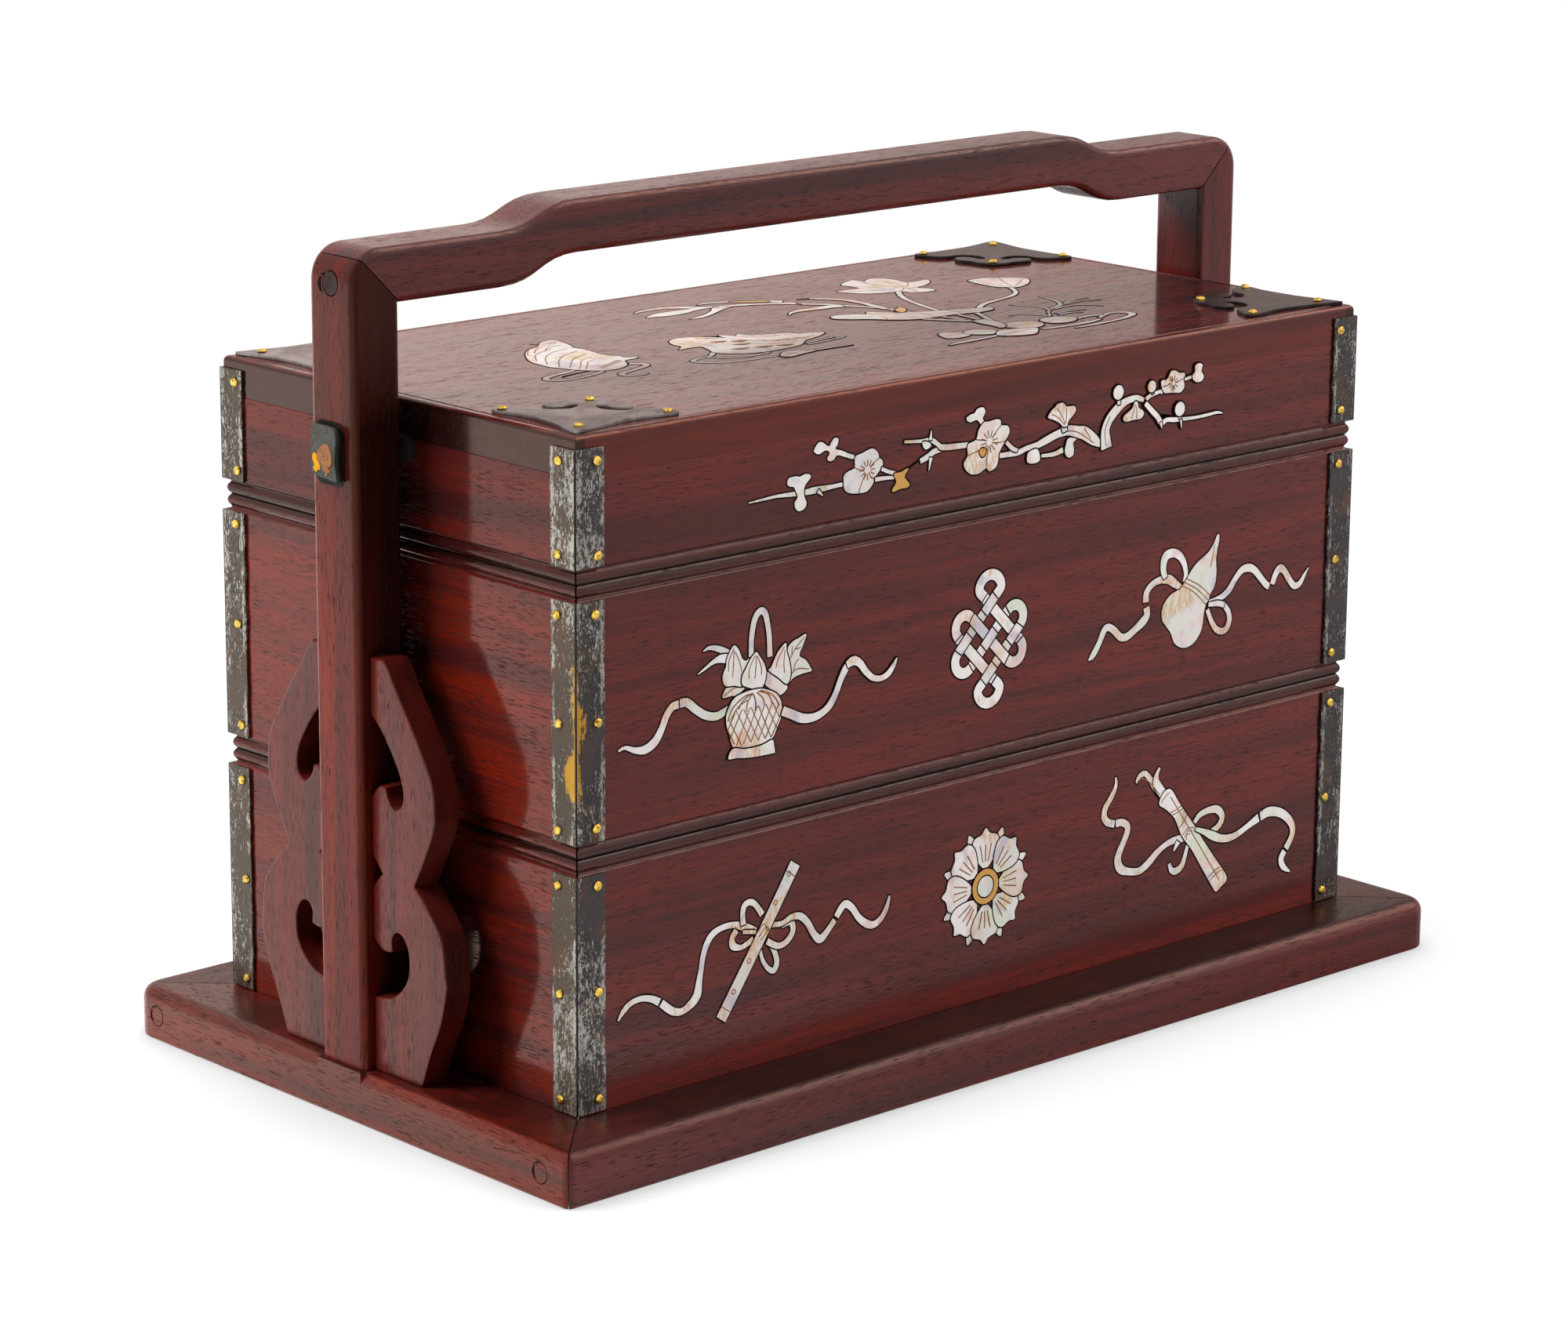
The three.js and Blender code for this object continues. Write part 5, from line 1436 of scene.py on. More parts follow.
    tube = [
        band((55.3, 72.8, .8), (55.5, 70.3, 1.4), (53.7, 67, 2), (51.3, 64.3, 2.2),
            (50.5, 61.7, 2.4), (52, 59.3, 2.4), (55.3, 58.1, 2.4)),
        band((55.8, 58.1, 2.4), (58.3, 58, 2.4), (60.7, 56.7, 2.4), (61, 54.7, 2.4),
            (59.7, 52, 2.4), (58, 49.3, 2.6), (57, 46.3, 3), (58.3, 43.3, 3), (62, 41.7, 2.4),
            (66.7, 41, 2.4), (70.7, 42.7, 2.6), (74, 45, 2.4), (77.3, 46.7, 2), (81.3, 47.7, 2.2),
            (86.3, 47.7, 2.6)),
        band((84, 47, 2), (82, 44.3, .8)),
        band((80, 40.7, 1.2), (81.3, 38.3, 2), (83.3, 37.7, 2.4), (85.7, 38.7, 2.2),
            (87, 41.3, 1.8), (88.4, 45.4, 1.4)),
        band((64.3, 69.3, .8), (65.7, 71, 1.8), (68, 71.7, 1.8), (70.3, 69.7, 2), (72.7, 66.7, 2.4),
            (77, 62.4, 3.2)),
        band((74.7, 72.3, 1), (73.3, 69.7, 2), (73.7, 67, 3.2), (78.3, 61.6, 3)),
        cut((66, 70.8), (70, 68.6), (75, 63.6)),
        leaf((75, 60.3), (75.3, 62.3), (77, 64.3), (80, 64.5), (83.3, 60.3), (87, 55.7),
            (90.7, 51.3), (95.3, 45.3), (101.3, 38), (106.8, 31), (104, 28.3), (101.9, 27.2),
            (100, 29.3), (94.7, 36.7), (90, 43.3), (85.3, 48.7), (82, 54.7), (78, 58.3)),
        cut((75.7, 60.8), (77.6, 62.6), (79.3, 63.5)),
        cut((79.6, 56.8), (82.4, 57.4), (84.9, 58.3)), cut((80.4, 56), (83, 56.4), (85.6, 57.3)),
        cut((84, 51.3), (86.2, 53), (87.6, 55)), cut((98, 32.6), (101, 34.4), (103.4, 35)),
        cut((98.8, 31.4), (101.8, 33.2), (104.3, 34)),
        cut((80, 62), (84, 56.6), (95, 42), (103, 31)),
        *[cut((85.8 + s, 48.6 - s), (88, 50.4 - s), (91 - s, 50.2 - s)) for s in (0, .9, 1.8)],
        band((91, 51.7, 1.6), (93.3, 53.7, 2), (97.3, 54.5, 2.2), (101.3, 54, 2.6),
            (103.7, 51.3, 2.4), (102.3, 48.7, 2.2), (99, 47.2, 2.2)),
        band((91.6, 49.6, 1.2), (96, 47.7, 2), (99.3, 46, 2.8), (103.3, 44.3, 2.6),
            (107.3, 43.7, 2.4), (111.3, 44.3, 2.2), (116, 46, 2.2), (120.7, 47.7, 3)),
        band((121.4, 47.9, 3), (125.3, 48.7, 3.2), (130, 47.7, 3), (134, 45.3, 2.8),
            (136.7, 42, 2.6), (136.7, 38.7, 2.4), (134, 35, 2.6)),
        band((133.4, 34.4, 2.5), (131.9, 32, 2.4), (133, 29.3, 2.2), (136.3, 27, .6)),
    ]

    def knot(self, x, y, pitch, width):
        """An endless knot: one strand laid to and fro both ways and looped at its ends"""
        end = pitch * 1.45
        turned = Matrix.Rotation(math.radians(45), 2)

        def strand(points):
            places = [turned @ Vector(p) for p in points]
            return band(*((x + p.x, y + p.y, width) for p in places))

        def loop(side, low, upright):
            arc = [(side * (end + math.sin(a) * pitch / 2), low + pitch / 2 - math.cos(a) * pitch / 2)
                   for a in (0, .5, 1.05, 1.57, 2.1, 2.64, 3.14)]
            return strand([(b, a) for a, b in arc] if upright else arc)

        rows = (-pitch, 0, pitch)
        drawing = [strand([(-end, row), (end, row)]) for row in rows]
        drawing += [strand([(row, -end), (row, end)]) for row in rows]
        for i, u in enumerate(rows):
            for j, v in enumerate(rows):
                if (i + j) % 2 == 0:
                    drawing.append(strand([(u - width * 0.95, v), (u + width * 0.95, v)]))
        drawing += [loop(side, low, upright) for upright in (False, True)
                    for side, low in ((-1, 0), (1, -pitch))]
        for sign in (1, -1):
            corner = [(end, pitch), (end + width, pitch + .2), (end + width * 1.3, pitch + width),
                      (end + width * .9, end + width * .9), (pitch + width, end + width * 1.3),
                      (pitch + .2, end + width), (pitch, end)]
            drawing.append(strand([(sign * a, sign * b) for a, b in corner]))
        return drawing

    def roundel(self, x, y, radius):
        """A flower roundel: eight cusped petals round a ringed middle, with leaf tips between"""
        drawing = []
        petal = [(0, .3), (.16, .42), (.3, .66), (.27, .84), (.1, .9), (0, 1), (-.1, .9), (-.27, .84),
                 (-.3, .66), (-.16, .42)]
        tip = [(0, .5), (.1, .78), (0, 1.02), (-.1, .78)]
        veins = [[(side * .6, .42), (side * 1.3, .72)] for side in (-.1, 0, .1)]
        for draw, parts, start in ((leaf, [tip], 22.5), (leaf, [petal], 0), (cut, veins, 0)):
            for i in range(8):
                turned = Matrix.Rotation(math.radians(start + 45 * i), 2)
                for part in parts:
                    places = [turned @ Vector(q) * radius for q in part]
                    drawing.append(draw(*((x + p.x, y + p.y) for p in places)))
        return [*drawing, amber(*circle(x, y, radius * .3)), leaf(*circle(x, y, radius * .18))]

    def execute(self, context):
        scene = context.scene
        middle = front_place("middle_tier_front_board", 88)
        bottom = front_place("bottom_tier_front_board", 11)
        inlaid(scene, "middle_tier_basket", "middle_tier", self.basket, middle)
        inlaid(scene, "middle_tier_gourd", "middle_tier", self.gourd, middle)
        inlaid(scene, "middle_tier_knot", "middle_tier", self.knot(0, 125, 7.4, 3.3), middle)
        inlaid(scene, "bottom_tier_flute", "bottom_tier", self.flute, bottom)
        inlaid(scene, "bottom_tier_tube", "bottom_tier", self.tube, bottom)
        inlaid(scene, "bottom_tier_roundel", "bottom_tier", self.roundel(0, 49.5, 18), bottom)
        return {"FINISHED"}


class PICNIC_OT_lotus_pond(bpy.types.Operator):
    """Inlays the pond with two ducks, reeds and a lotus on the top of the lid"""
    bl_idname = "picnic.lotus_pond"
    bl_label = "Lotus pond on the lid"

    left_duck = [
        band((-94.7, -5.2, .8), (-100.7, -6.8, 1.6), (-105.7, -7.9, 1.8), (-109.6, -9.6, 2),
            (-111.4, -12.1, 2), (-109.3, -15, 1.8), (-104.3, -15.7, 1.4), (-97.9, -14.6, 1.6),
            (-91, -12.4, 1.6)),
        gap((-92, -9.4, .6), (-98, -9.8, 1), (-104, -11, 1.2), (-106, -12.4, .8)),
        band((-77.5, -8.2, 2), (-75, -10.7, 2.2), (-75, -12.9, 2), (-78.6, -15, 1.8),
            (-84.3, -16.8, 1.6), (-89.3, -18.6, 2), (-90, -21.4, 2), (-86.4, -23.2, 1.4),
            (-82.9, -22.5, .9)),
        leaf((-69.9, 34.6), (-75.4, 34.3), (-80, 30), (-85, 27.9), (-90, 23.6), (-94.3, 17.9),
            (-97.1, 12.9), (-98.2, 7.9), (-98.2, 2.1), (-96.8, -2.1), (-95.7, -5), (-93.6, -8.6),
            (-90, -11.8), (-85, -12.1), (-80, -10), (-77.1, -6.4), (-75, -3.6), (-70, -3),
            (-69.3, -1.4), (-72.1, 0), (-72.1, 2.9), (-73.9, 5.4), (-73.9, 10), (-72.9, 16.4),
            (-73.6, 20.7), (-72.1, 24.3), (-70.7, 28.6)),
        cut((-93.6, -5), (-90.4, -1.8), (-86.4, 2.9), (-83.6, 5), (-79.3, 6.4)),
        cut((-92.4, -6.4), (-88.6, -2.6), (-84.8, 1.4), (-80.6, 3.4)),
        cut((-92, 20), (-86, 27), (-80, 29.4)), cut((-88, 22), (-82, 27.6), (-76, 29)),
        cut((-83.6, 22.6), (-78.6, 26.6), (-73.6, 27)), cut((-95.4, 12), (-89, 20), (-80, 24)),
        cut((-96.4, 6), (-90.4, 14), (-83, 19.6), (-76, 21.4)),
        cut((-96, 1), (-90.4, 8), (-83.8, 13.6), (-76.4, 16.4)),
        cut((-94.6, -2), (-89.4, 3.6), (-84, 8.4), (-77, 11.4)),
        cut((-80, 34), (-77, 31), (-72.4, 30.6)), cut((-76.6, 34), (-74.6, 32.4), (-71.4, 32.4)),
        *[cut((-88 + s * 1.2, -9 + s * .5), (-87.4 + s * 1.2, -7 + s * .6)) for s in range(10)],
    ]
    right_duck = [
        band((-45.4, -12.2, .8), (-47.9, -11.4, 1.6), (-52.1, -14.6, 1.4), (-58.6, -15.7, 1.4),
            (-61.1, -17.9, 2), (-59.3, -21.4, 2), (-54.3, -24.6, 2), (-47.1, -26.1, 1.6),
            (-40.7, -26.4, 1.4), (-36.4, -26.8, 1.2)),
        band((-54.3, -15.7, 1), (-50.7, -19.3, 1.4), (-45, -21.4, 1.6), (-39.3, -21.8, 1.5),
            (-34.3, -21.1, .8)),
        band((-19.6, -17, .8), (-11.4, -16.4, 1), (-3.6, -15, 1)),
        band((-17.6, -19, 1), (-7.9, -18.2, 1.2), (-.7, -16.8, 1)),
        leaf((-52.5, -1.4), (-48.6, 2.1), (-48.2, 6.1), (-46.4, 10), (-42.9, 12.5), (-39.3, 12.9),
            (-35.7, 11.4), (-32.1, 8.6), (-29.6, 5), (-29.3, 2.9), (-28.2, 8.6), (-26, 7),
            (-24.3, 5), (-22.5, 6.4), (-20, 2.9), (-15, .4), (-10, -1.4), (-7.9, -4.3),
            (-3.6, -6.1), (-.4, -7.9), (-4.3, -10.7), (-9.3, -12.5), (-13.6, -13.9), (-18.6, -17.9),
            (-25, -19.6), (-35, -20), (-41.4, -17.9), (-46.4, -14.3), (-47.1, -10), (-45.4, -6.4),
            (-44.3, -2.1), (-45.7, -1.4), (-49.3, -1)),
        cut((-47, 3.6), (-43.4, 4), (-41, .4), (-40.6, -5)),
        cut((-45.6, 5.6), (-41.6, 6), (-38.6, 2), (-38, -4)),
        cut((-36.4, 9.6), (-33, 6.6), (-30.6, 3.4)), cut((-29.3, 2.9), (-26.6, -3), (-20.6, -7.6)),
        cut((-26.6, 6), (-22.6, .6), (-16.6, -4.4)), cut((-22.4, 4.6), (-18, -.4), (-11.6, -3.6)),
        cut((-28.6, -1), (-22.6, -8), (-14, -10.8), (-6, -9.6)),
        cut((-31, -3.6), (-25.6, -10.6), (-16.6, -13.4)),
        *[cut((-24 + 3.4 * s, -6 - .9 * s), (-21.6 + 3.4 * s, -8.8 - .6 * s),
            (-18.6 + 3.4 * s, -8 - .6 * s))
            for s in range(4)],
        *[fleck((x, y, .6), (x + 2.4, y - 1.4, 2.6), (x + 5.4, y - 1.6, 1))
            for x, y in ((-37.6, 2), (-35, -5.4), (-40, -10.6), (-32.6, -12.6), (-26, -14.6),
            (-32, -1))],
        leaf((-36.8, -28.6), (-32.9, -24.6), (-29.3, -23.9), (-25, -25.4), (-22.1, -27.9),
            (-29.3, -29.6), (-34.3, -30.7)),
        cut((-35, -28.6), (-29.6, -26.6), (-24, -27.4)),
        cut((-32.6, -25.4), (-30.4, -27), (-30.6, -29.4)),
        band((-22, -27.4, 1.4), (-12.1, -27.7, 1.2), (-8.2, -28.2, .6)),
    ]
    reeds = [
        band((-22.7, 53.1, .5), (-18.8, 54.6, 1.6), (-12.7, 55, 2.4), (-7.3, 53.5, 3),
            (-2.7, 50, 3), (2.9, 45.8, 1.6)),
        band((-24.6, 45, .5), (-21.9, 45.8, 2.4), (-18.1, 46, 5), (-13.5, 46, 5.4),
            (-8.8, 46.2, 4.5), (-4.2, 46.9, 3), (-.4, 47.3, 3.5), (3.3, 46, 2)),
        band((-16.2, 34.8, .4), (-11.9, 35.4, 1.8), (-6.5, 37.3, 1.8), (-1.2, 40.4, 2.4),
            (3.5, 43.5, 4), (8.8, 44.2, 2.6)),
        band((1.9, 51.9, .5), (5.8, 52.3, 1.6), (11.2, 50.4, 2), (16.5, 47.3, 2.4),
            (21.9, 43.5, 2.6), (25.8, 39.2, 3)),
        amber((13.4, 50), (16.4, 48.4), (20.4, 45.8), (23.4, 43.4), (22.4, 42), (19, 43.8),
            (15.6, 46.6), (13.2, 48.4)),
        band((4.2, 45, 2), (10.4, 43.8, 2.2), (15.8, 41.5, 2), (21.2, 38.5, 2.4), (27, 34.2, 2.8)),
        band((27.8, 32.8, 2.2), (28.8, 30.8, 1.9), (33.5, 25.8, 2), (36.5, 20, 2), (40, 14.5, 2),
            (41.5, 10.4, 2.2), (42.7, 5, 2.2), (43.1, .6, 2)),
        band((11.5, 20.6, .5), (15, 23.1, 1.4), (19.6, 24, 3), (25, 23.5, 3.4), (31.2, 23.1, 4),
            (35, 21.5, 3)),
        band((35.8, 37.7, 1.2), (39.6, 33.8, 2.2), (42.7, 28.5, 2.6), (43.1, 23.1, 2.6),
            (42.7, 18.5, 2.4), (41.9, 13, 2.4), (41.5, 9, 2)),
        gap((31.6, 39.2, .4), (34, 38.6, 1), (35.8, 37.7, 1.2)),
        band((13.1, -47.7, .5), (18.5, -46.5, 1.6), (26.2, -46.2, 1.8), (36.4, -45.2, 1.4)),
    ]
    lotus = [
        band((51.9, -3, 1.6), (53.8, 5, 1.6), (55.8, 11.2, 1.7), (58.5, 18.1, 1.8),
            (61.5, 23.5, 1.8), (66.2, 29.6, 1.8), (69.4, 35, 1.8)),
        leaf((51.5, 41.9), (60.4, 41.5), (60.8, 46.2), (60.4, 49.2), (62.7, 51.5), (68.8, 54.2),
            (70, 53.1), (70.5, 50), (75.8, 52.3), (79.6, 49.2), (80.4, 44.6), (80, 40),
            (83.5, 39.2), (88.5, 39.6), (85.8, 35.4), (80.4, 32.3), (75.8, 30.8), (77.3, 26.2),
            (76.5, 23.5), (71.9, 23.5), (68.1, 26.2), (66.5, 29.2), (60.4, 30.8), (55, 33.8),
            (52.7, 37.7)),
        cut((60.4, 41.5), (62.6, 37.6), (66.6, 34.6), (69, 33.6)),
        cut((60.6, 47), (64, 42), (69, 38), (71, 34.4)),
        cut((70.5, 50), (68.6, 45.6), (70.4, 39.6), (72, 35)),
        cut((70.5, 50), (74.4, 46), (75.6, 40), (73.4, 35)),
        cut((80, 40), (77.4, 36.6), (73.6, 34)), cut((66.5, 29.2), (69.6, 30.8), (72, 33)),
        cut((75.8, 30.8), (73.6, 31.4), (71.6, 32.8)), cut((54.6, 39.6), (59, 36.4), (64.6, 34)),
        cut((70.4, 25.4), (71.6, 28), (71.8, 31)),
        band((63.8, -8.8, 1.8), (67.7, -5.8, 1.8), (72.3, -3.5, 1.7), (80, -1.5, 1.6),
            (87.7, .8, 1.6), (93.8, 5, 1.5), (98.8, 12.9, 1.6)),
        leaf((96.2, 28.5), (98.8, 30), (103.5, 29.6), (108.8, 26.9), (113.8, 20.4), (110.4, 15.4),
            (105, 11.9), (100, 10.8), (98.1, 12.3), (95.4, 15.4), (95.4, 22.3)),
        cut((99.4, 12.4), (98.6, 20), (99.8, 28.6)), cut((100, 12.4), (103.4, 19.6), (107.6, 26.4)),
        cut((100.6, 12.2), (106.4, 16), (112, 20)), cut((97.6, 14.6), (96.8, 20), (97.4, 26)),
        band((37.7, -10.9, 2.2), (41.5, -16.5, 2.2), (46.8, -23.4, 2.4)),
        band((45, -11.3, 1.6), (46.2, -20.4, 1.4)),
        band((51.2, -12.5, 1.6), (50, -22.7, 1.4)),
        band((58.5, -12.2, 1.8), (54.6, -20.4, 1.8), (51, -27, 2.4)),
        band((48.8, -23.2, 5), (48.5, -28.8, 6), (47.7, -33.5, 4.5), (45.4, -37, 1.5)),
        leaf((17.3, 6.5), (18.5, 9.6), (21.5, 10.4), (25.4, 9.2), (28.5, 6.5), (30, 6), (33.1, 8.5),
            (36.9, 4.2), (40, .8), (43.8, -.4), (47.7, -2.7), (53.8, -5), (58.5, -6.9),
            (63.8, -8.8), (67.3, -10), (66.2, -12.7), (61.5, -13.8), (56.9, -13.5), (50.8, -11.9),
            (44.6, -11.5), (38.5, -11.2), (33.1, -8.8), (28.5, -5), (25.4, -1.2), (20, 3.1)),
        cut((30, 6), (31.2, 2.4), (30.8, -1.4), (28.5, -5)),
        cut((31.4, 7), (36, 1), (42.6, -4), (50, -7.6), (58, -10), (65.6, -11.6)),
        cut((43.8, -.4), (44.2, -5), (42.6, -11)), cut((53.8, -5), (54.6, -8.6), (53, -12)),
        cut((20.4, 5), (25, 3.6), (28.6, 1.6)),
        amber((40.6, 1.4), (41.2, 5), (44, 7), (46.6, 8.6), (46, 5.4), (43.6, 2.4)),
    ]
    water = [
        band((70.8, -32.7, .7), (76.2, -26.5, 1), (80.8, -23.5, 1.6), (87.7, -20.4, 1.8),
            (90.8, -16.5, 1.4), (93.1, -10.4, 1.1), (93.1, -5.8, .4)),
        band((75.4, -10.4, .4), (78.5, -15.8, 1), (80, -21.2, 1.2), (77.7, -25.6, 1)),
        band((61.9, -24.2, .4), (65.4, -23.8, 1.1), (69.2, -27.3, 1.2), (71.2, -32.5, 1)),
        band((90.6, -19.4, 1), (95.4, -17.3, 1.4), (103, -17.3, .4)),
        band((89, -20.6, 1), (96.9, -19.6, 1.2), (104, -22, .4)),
        band((81, -24.4, 1), (89.2, -23.5, 1.2), (93.8, -25.8, 1), (96.2, -30.4, .4)),
        band((74.6, -32.7, 1), (80, -31.9, 1.2), (83.1, -34.2, .4)),
        band((75.4, -30.5, 1), (82, -29.5, 1.2), (87.7, -31.2, .4)),
        band((53.1, -46.5, 1), (60.8, -47.3, 1.6), (72.3, -47.3, 1.6), (79.2, -45.8, 1)),
        band((62.3, -51.5, .5), (70.8, -51.2, 1.4), (80, -50.4, 1.4), (87.7, -48.8, 1.6),
            (93.1, -45.8, 2.4), (92.3, -41.9, 2), (87.7, -40.8, 1.4), (80.3, -44.2, 1.2)),
        band((74, -40.8, 1.4), (80, -40, 1.6), (84.6, -41.6, 1)),
        leaf((20.4, -38.8), (21.9, -34.2), (25, -31.5), (29.2, -34.2), (30.8, -36.5), (29.2, -40),
            (23.8, -40.8)),
        cut((22, -37), (25.4, -36.4), (29, -37)),
        leaf((30, -36.5), (33.1, -34.2), (36.9, -34.2), (40.8, -38.1), (40, -40.4), (36.2, -42.7),
            (31.5, -40.4)),
        cut((32, -38), (35.4, -38), (38.6, -40)),
        leaf((46.9, -37.3), (49.2, -33.5), (53.8, -32.7), (58.5, -34.2), (60.8, -38.1),
            (58.5, -41.9), (53.8, -43.5), (49.5, -42)),
        cut((48.6, -38), (53.6, -37.6), (58.6, -38.8)),
        leaf((61.9, -38.1), (63.8, -35), (67.7, -33.8), (72.3, -35.8), (74.6, -39.6), (71.5, -42.7),
            (66.9, -43.5), (63.1, -41.9)),
        cut((64, -38.6), (68, -38), (72.4, -40)),
        leaf((35.4, -45.8), (39.2, -41.2), (43.8, -40.4), (48.5, -41.9), (53.1, -44.2),
            (49.2, -48.5), (45.4, -50.8), (40, -49.6)),
        cut((37.6, -45.4), (44, -44.6), (50.6, -45)),
    ]

    def execute(self, context):
        scene = context.scene
        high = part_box("lid_top_board")[1]
        place = Matrix.Translation((0, 0, high.z))
        for name, drawing in (("left_duck", self.left_duck), ("right_duck", self.right_duck),
                              ("reeds", self.reeds), ("lotus", self.lotus), ("water", self.water)):
            inlaid(scene, f"lid_{name}", "lid", drawing, place)
        return {"FINISHED"}


# Stage

class PICNIC_OT_stage(bpy.types.Operator):
    """Sets the camera, the pale floor and the soft light of a white room"""
    bl_idname = "picnic.stage"
    bl_label = "Stage"

    # The camera in metres, fitted to the box's corners and edges
    camera_place = (-0.96047, -1.03381, 0.46207)
    camera_forward = (0.65711, 0.71371, -0.24255)
    camera_up = (0.15935, 0.18298, 0.97012)
    camera_shift = -0.01575
    floor_size = 40
    # Directions from the box to the wall behind it, to its right and to the soft box
    back_wall = (0.66, 0.71, 0.24)
    rightward = (0.73, -0.68, 0)
    high_right = (0.66, -0.24, 0.71)

    def execute(self, context):
        scene = context.scene
        self.camera(scene)
        self.floor()
        self.lamps(scene.box_stage)
        self.room(scene)
        scene.view_settings.view_transform = "Standard"
        return {"FINISHED"}

    def camera(self, scene):
        forward = Vector(self.camera_forward).normalized()
        right = forward.cross(Vector(self.camera_up)).normalized()
        turned = Matrix((right, right.cross(forward), -forward)).transposed().to_4x4()
        data = bpy.data.cameras.new("Camera")
        data.lens = scene.box_stage.lens
        data.sensor_width = 36
        data.shift_y = self.camera_shift
        camera = new_object("Camera", data)
        camera.matrix_world = Matrix.Translation(self.camera_place) @ turned
        scene.camera = camera

    def floor(self):
        """A matt white sweep: white to the camera and to reflections, with the shadow kept"""
        bpy.ops.object.select_all(action="DESELECT")
        bpy.ops.mesh.primitive_plane_add(size=self.floor_size, location=(0, 0, 0))
        floor = bpy.context.object
        floor.name = "Floor"
        material = bpy.data.materials.new("Matt white paper")
        material.use_nodes = True
        tree = material.node_tree
        tree.nodes.clear()
        seen, mirrored = looks(tree)
        coords = node(tree, "TexCoord").outputs["Object"]
        away = node(tree, "VectorMath", {0: coords}, operation="LENGTH").outputs["Value"]
        far = product(tree, mask(tree, away, 0.5, 1.1), seen)
        # Rays that look at the floor see it nearly white, with a faint shadow; others see paper
        paper = node(tree, "BsdfDiffuse", {"Color": mask(tree, seen, 0, 1, 0.5, 0.14)})
        # In the box's polish the floor is brighter towards the key light than at the front
        spot = node(tree, "SeparateXYZ", {"Vector": coords}).outputs
        side = sum_of(tree, spot["X"], spot["Y"], operation="SUBTRACT")
        polish = product(tree, mask(tree, side, -0.3, 0.3, 0.7, -0.3), mirrored)
        # The box keeps some of the room's light from the paper under its edges
        open_to_room = node(tree, "AmbientOcclusion", {"Distance": 75 * MM}).outputs["AO"]
        glow = mask(tree, open_to_room, 0.4, 0.95, 0.6, 0.97)
        strength = sum_of(tree, product(tree, seen, glow), polish, product(tree, mirrored, -0.16))
        lift = node(tree, "Emission", {"Color": WHITE, "Strength": strength})
        near = node(tree, "AddShader", {0: paper.outputs[0], 1: lift.outputs[0]})
        white = node(tree, "Emission", {"Color": WHITE, "Strength": sum_of(tree, polish, 1.0)})
        sweep = node(tree, "MixShader", {0: far, 1: near.outputs[0], 2: white.outputs[0]})
        node(tree, "OutputMaterial", {"Surface": sweep.outputs[0]})
        floor.data.materials.append(material)

    def lamps(self, stage):
        aim = Vector((0, 0, 0.1))
        for name, power, size, place in (
            ("Key light", stage.key_power, 1.1, (-1.3, 0.8, 1.5)),
            ("Fill light", stage.fill_power, 0.9, (1.5, -1.35, 0.4)),
        ):
            data = bpy.data.lights.new(name, "AREA")
            data.energy = power
            data.shape = "SQUARE"
            data.size = size
            lamp = new_object(name, data)
            lamp.location = place
            lamp.rotation_euler = (aim - Vector(place)).to_track_quat("-Z", "Y").to_euler()
            # The box's polish mirrors the white room, not the lamps
            lamp.visible_glossy = False

    def room(self, scene):
        """A white room, warmer in the box's polish than in the picture"""
        stage = scene.box_stage
        world = bpy.data.worlds.new("White room")
        world.use_nodes = True
        tree = world.node_tree
        seen, mirrored = looks(tree)
        direction = node(tree, "TexCoord").outputs["Generated"]
        to_wall, to_right, to_soft_box = (
            node(tree, "VectorMath", {0: direction, 1: way}, operation="DOT_PRODUCT").outputs["Value"]
            for way in (self.back_wall, self.rightward, self.high_right)
        )
        # The lid mirrors the wall behind the box, which is darker towards the right
        behind = product(tree, mask(tree, to_wall, 0.6, 0.85), mirrored)
        right = mask(tree, to_right, -0.12, 0.14)
        wall = mixed(tree, right, (1.12, 0.92, 0.86, 1), (0.6, 0.46, 0.43, 1))
        room = mixed(tree, behind, WHITE, wall)
        # A soft box high on the right glints on the rounded upper edges of the front
        soft_box = product(tree, mask(tree, to_soft_box, 0.9, 0.97), mirrored)
        feed(tree, tree.nodes["Background"], {
            "Color": mixed(tree, soft_box, room, (1, 0.68, 0.56, 1)),
            "Strength": sum_of(tree, mask(tree, seen, 0, 1, stage.room_light, 1.0),
                               product(tree, soft_box, stage.soft_box)),
        })
        scene.world = world


# Panel and start

OPERATORS = (
    PICNIC_OT_stage,
    PICNIC_OT_boards,
    PICNIC_OT_brackets,
    PICNIC_OT_straps,
    PICNIC_OT_corner_plates,
    PICNIC_OT_pins,
    PICNIC_OT_dowel_gaps,
    PICNIC_OT_lid_branch,
    PICNIC_OT_tier_emblems,
    PICNIC_OT_lotus_pond,
)


class PICNIC_PT_panel(bpy.types.Panel):
    """Lists the settings and the steps that dress the picnic box"""
    bl_idname = "PICNIC_PT_panel"
    bl_label = "Picnic box"
    bl_space_type = "VIEW_3D"
    bl_region_type = "UI"
    bl_category = "Picnic box"

    def draw(self, context):
        layout = self.layout
        for name, group in SETTINGS.items():
            column = layout.column(align=True)
            for key in group.__annotations__:
                column.prop(getattr(context.scene, name), key)
        for operator in OPERATORS:
            layout.operator(operator.bl_idname)


def register():
    for group in SETTINGS.values():
        bpy.utils.register_class(group)
    for name, group in SETTINGS.items():
        setattr(bpy.types.Scene, name, bpy.props.PointerProperty(type=group))
    for operator in OPERATORS:
        bpy.utils.register_class(operator)
    bpy.utils.register_class(PICNIC_PT_panel)


def unregister():
    bpy.utils.unregister_class(PICNIC_PT_panel)
    for operator in reversed(OPERATORS):
        bpy.utils.unregister_class(operator)
    for name in SETTINGS:
        delattr(bpy.types.Scene, name)
    for group in SETTINGS.values():
        bpy.utils.unregister_class(group)


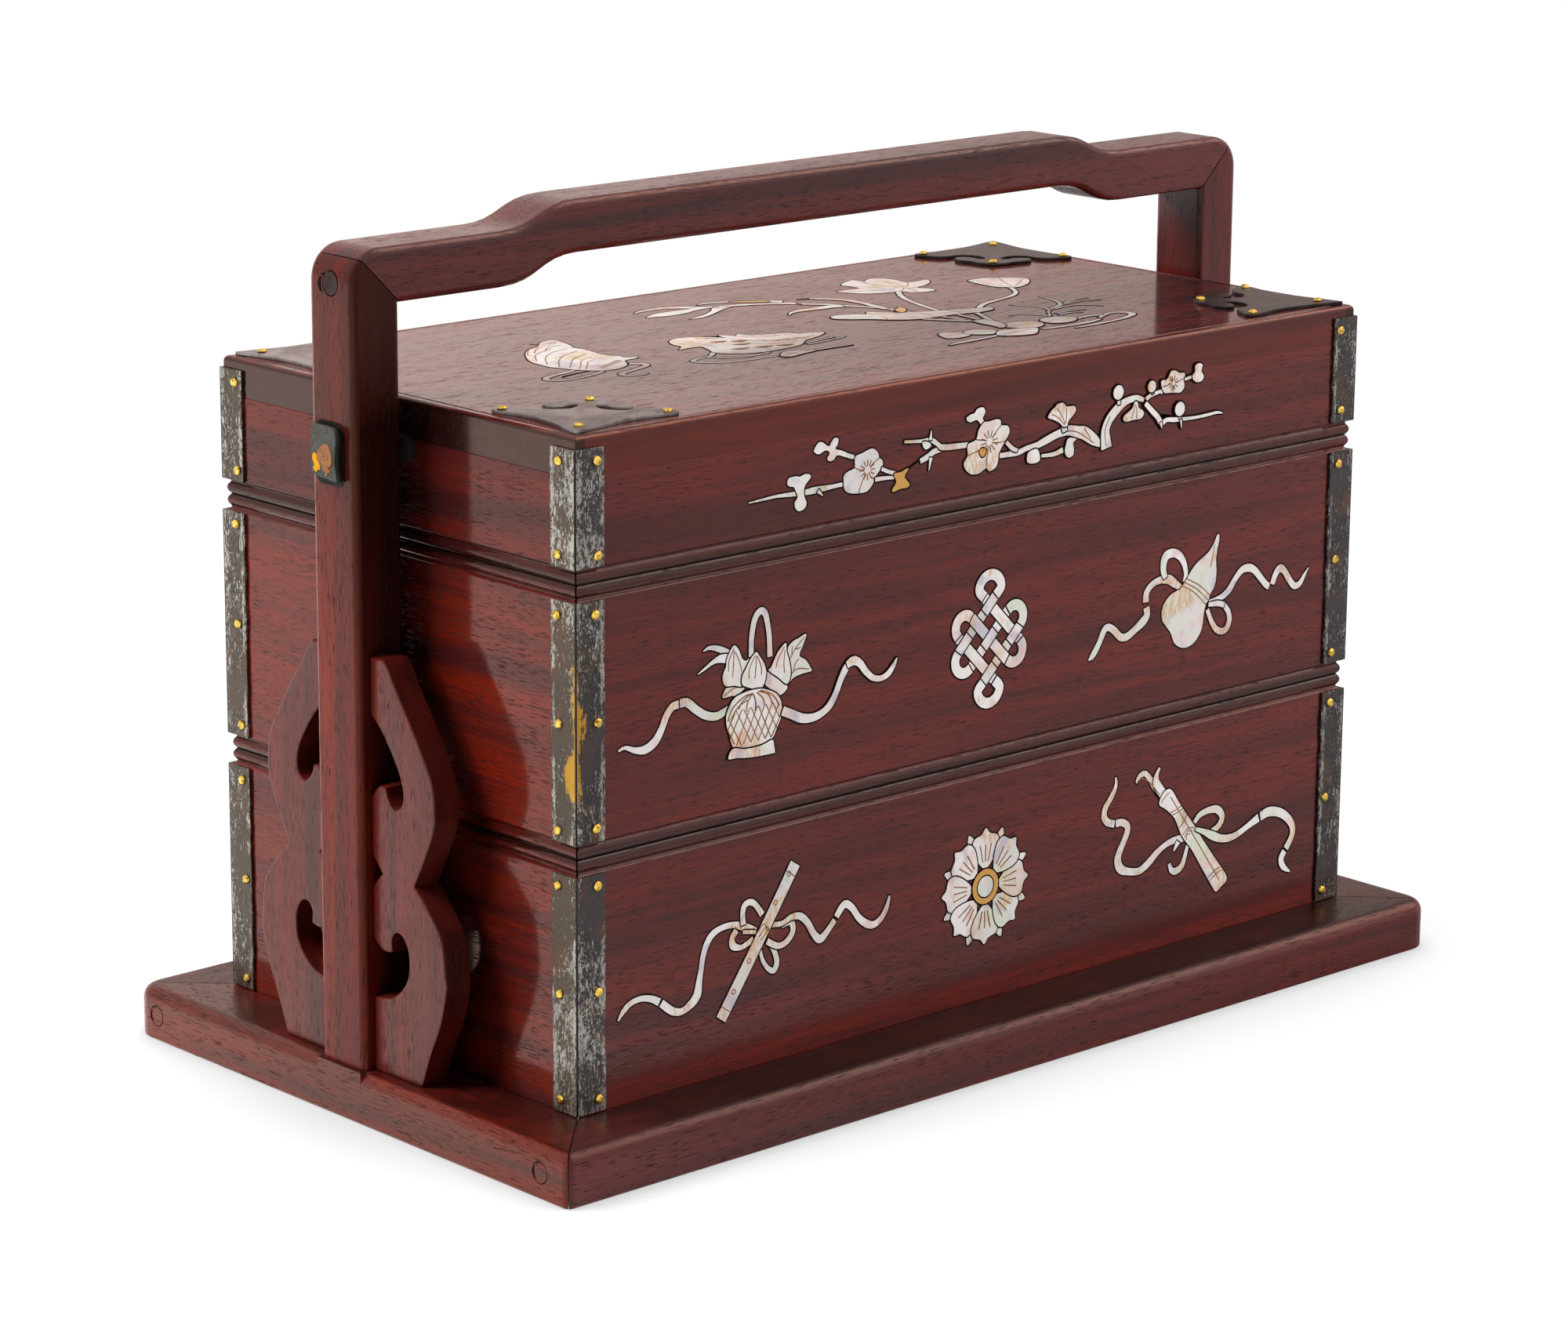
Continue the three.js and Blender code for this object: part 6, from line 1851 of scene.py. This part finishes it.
def main():
    register()
    bpy.ops.picnic.stage()
    bpy.ops.picnic.boards()
    bpy.ops.picnic.brackets()
    bpy.ops.picnic.straps()
    bpy.ops.picnic.corner_plates()
    bpy.ops.picnic.pins()
    bpy.ops.picnic.dowel_gaps()
    bpy.ops.picnic.lid_branch()
    bpy.ops.picnic.tier_emblems()
    bpy.ops.picnic.lotus_pond()
    bpy.context.view_layer.update()


if __name__ == "__main__":
    main()
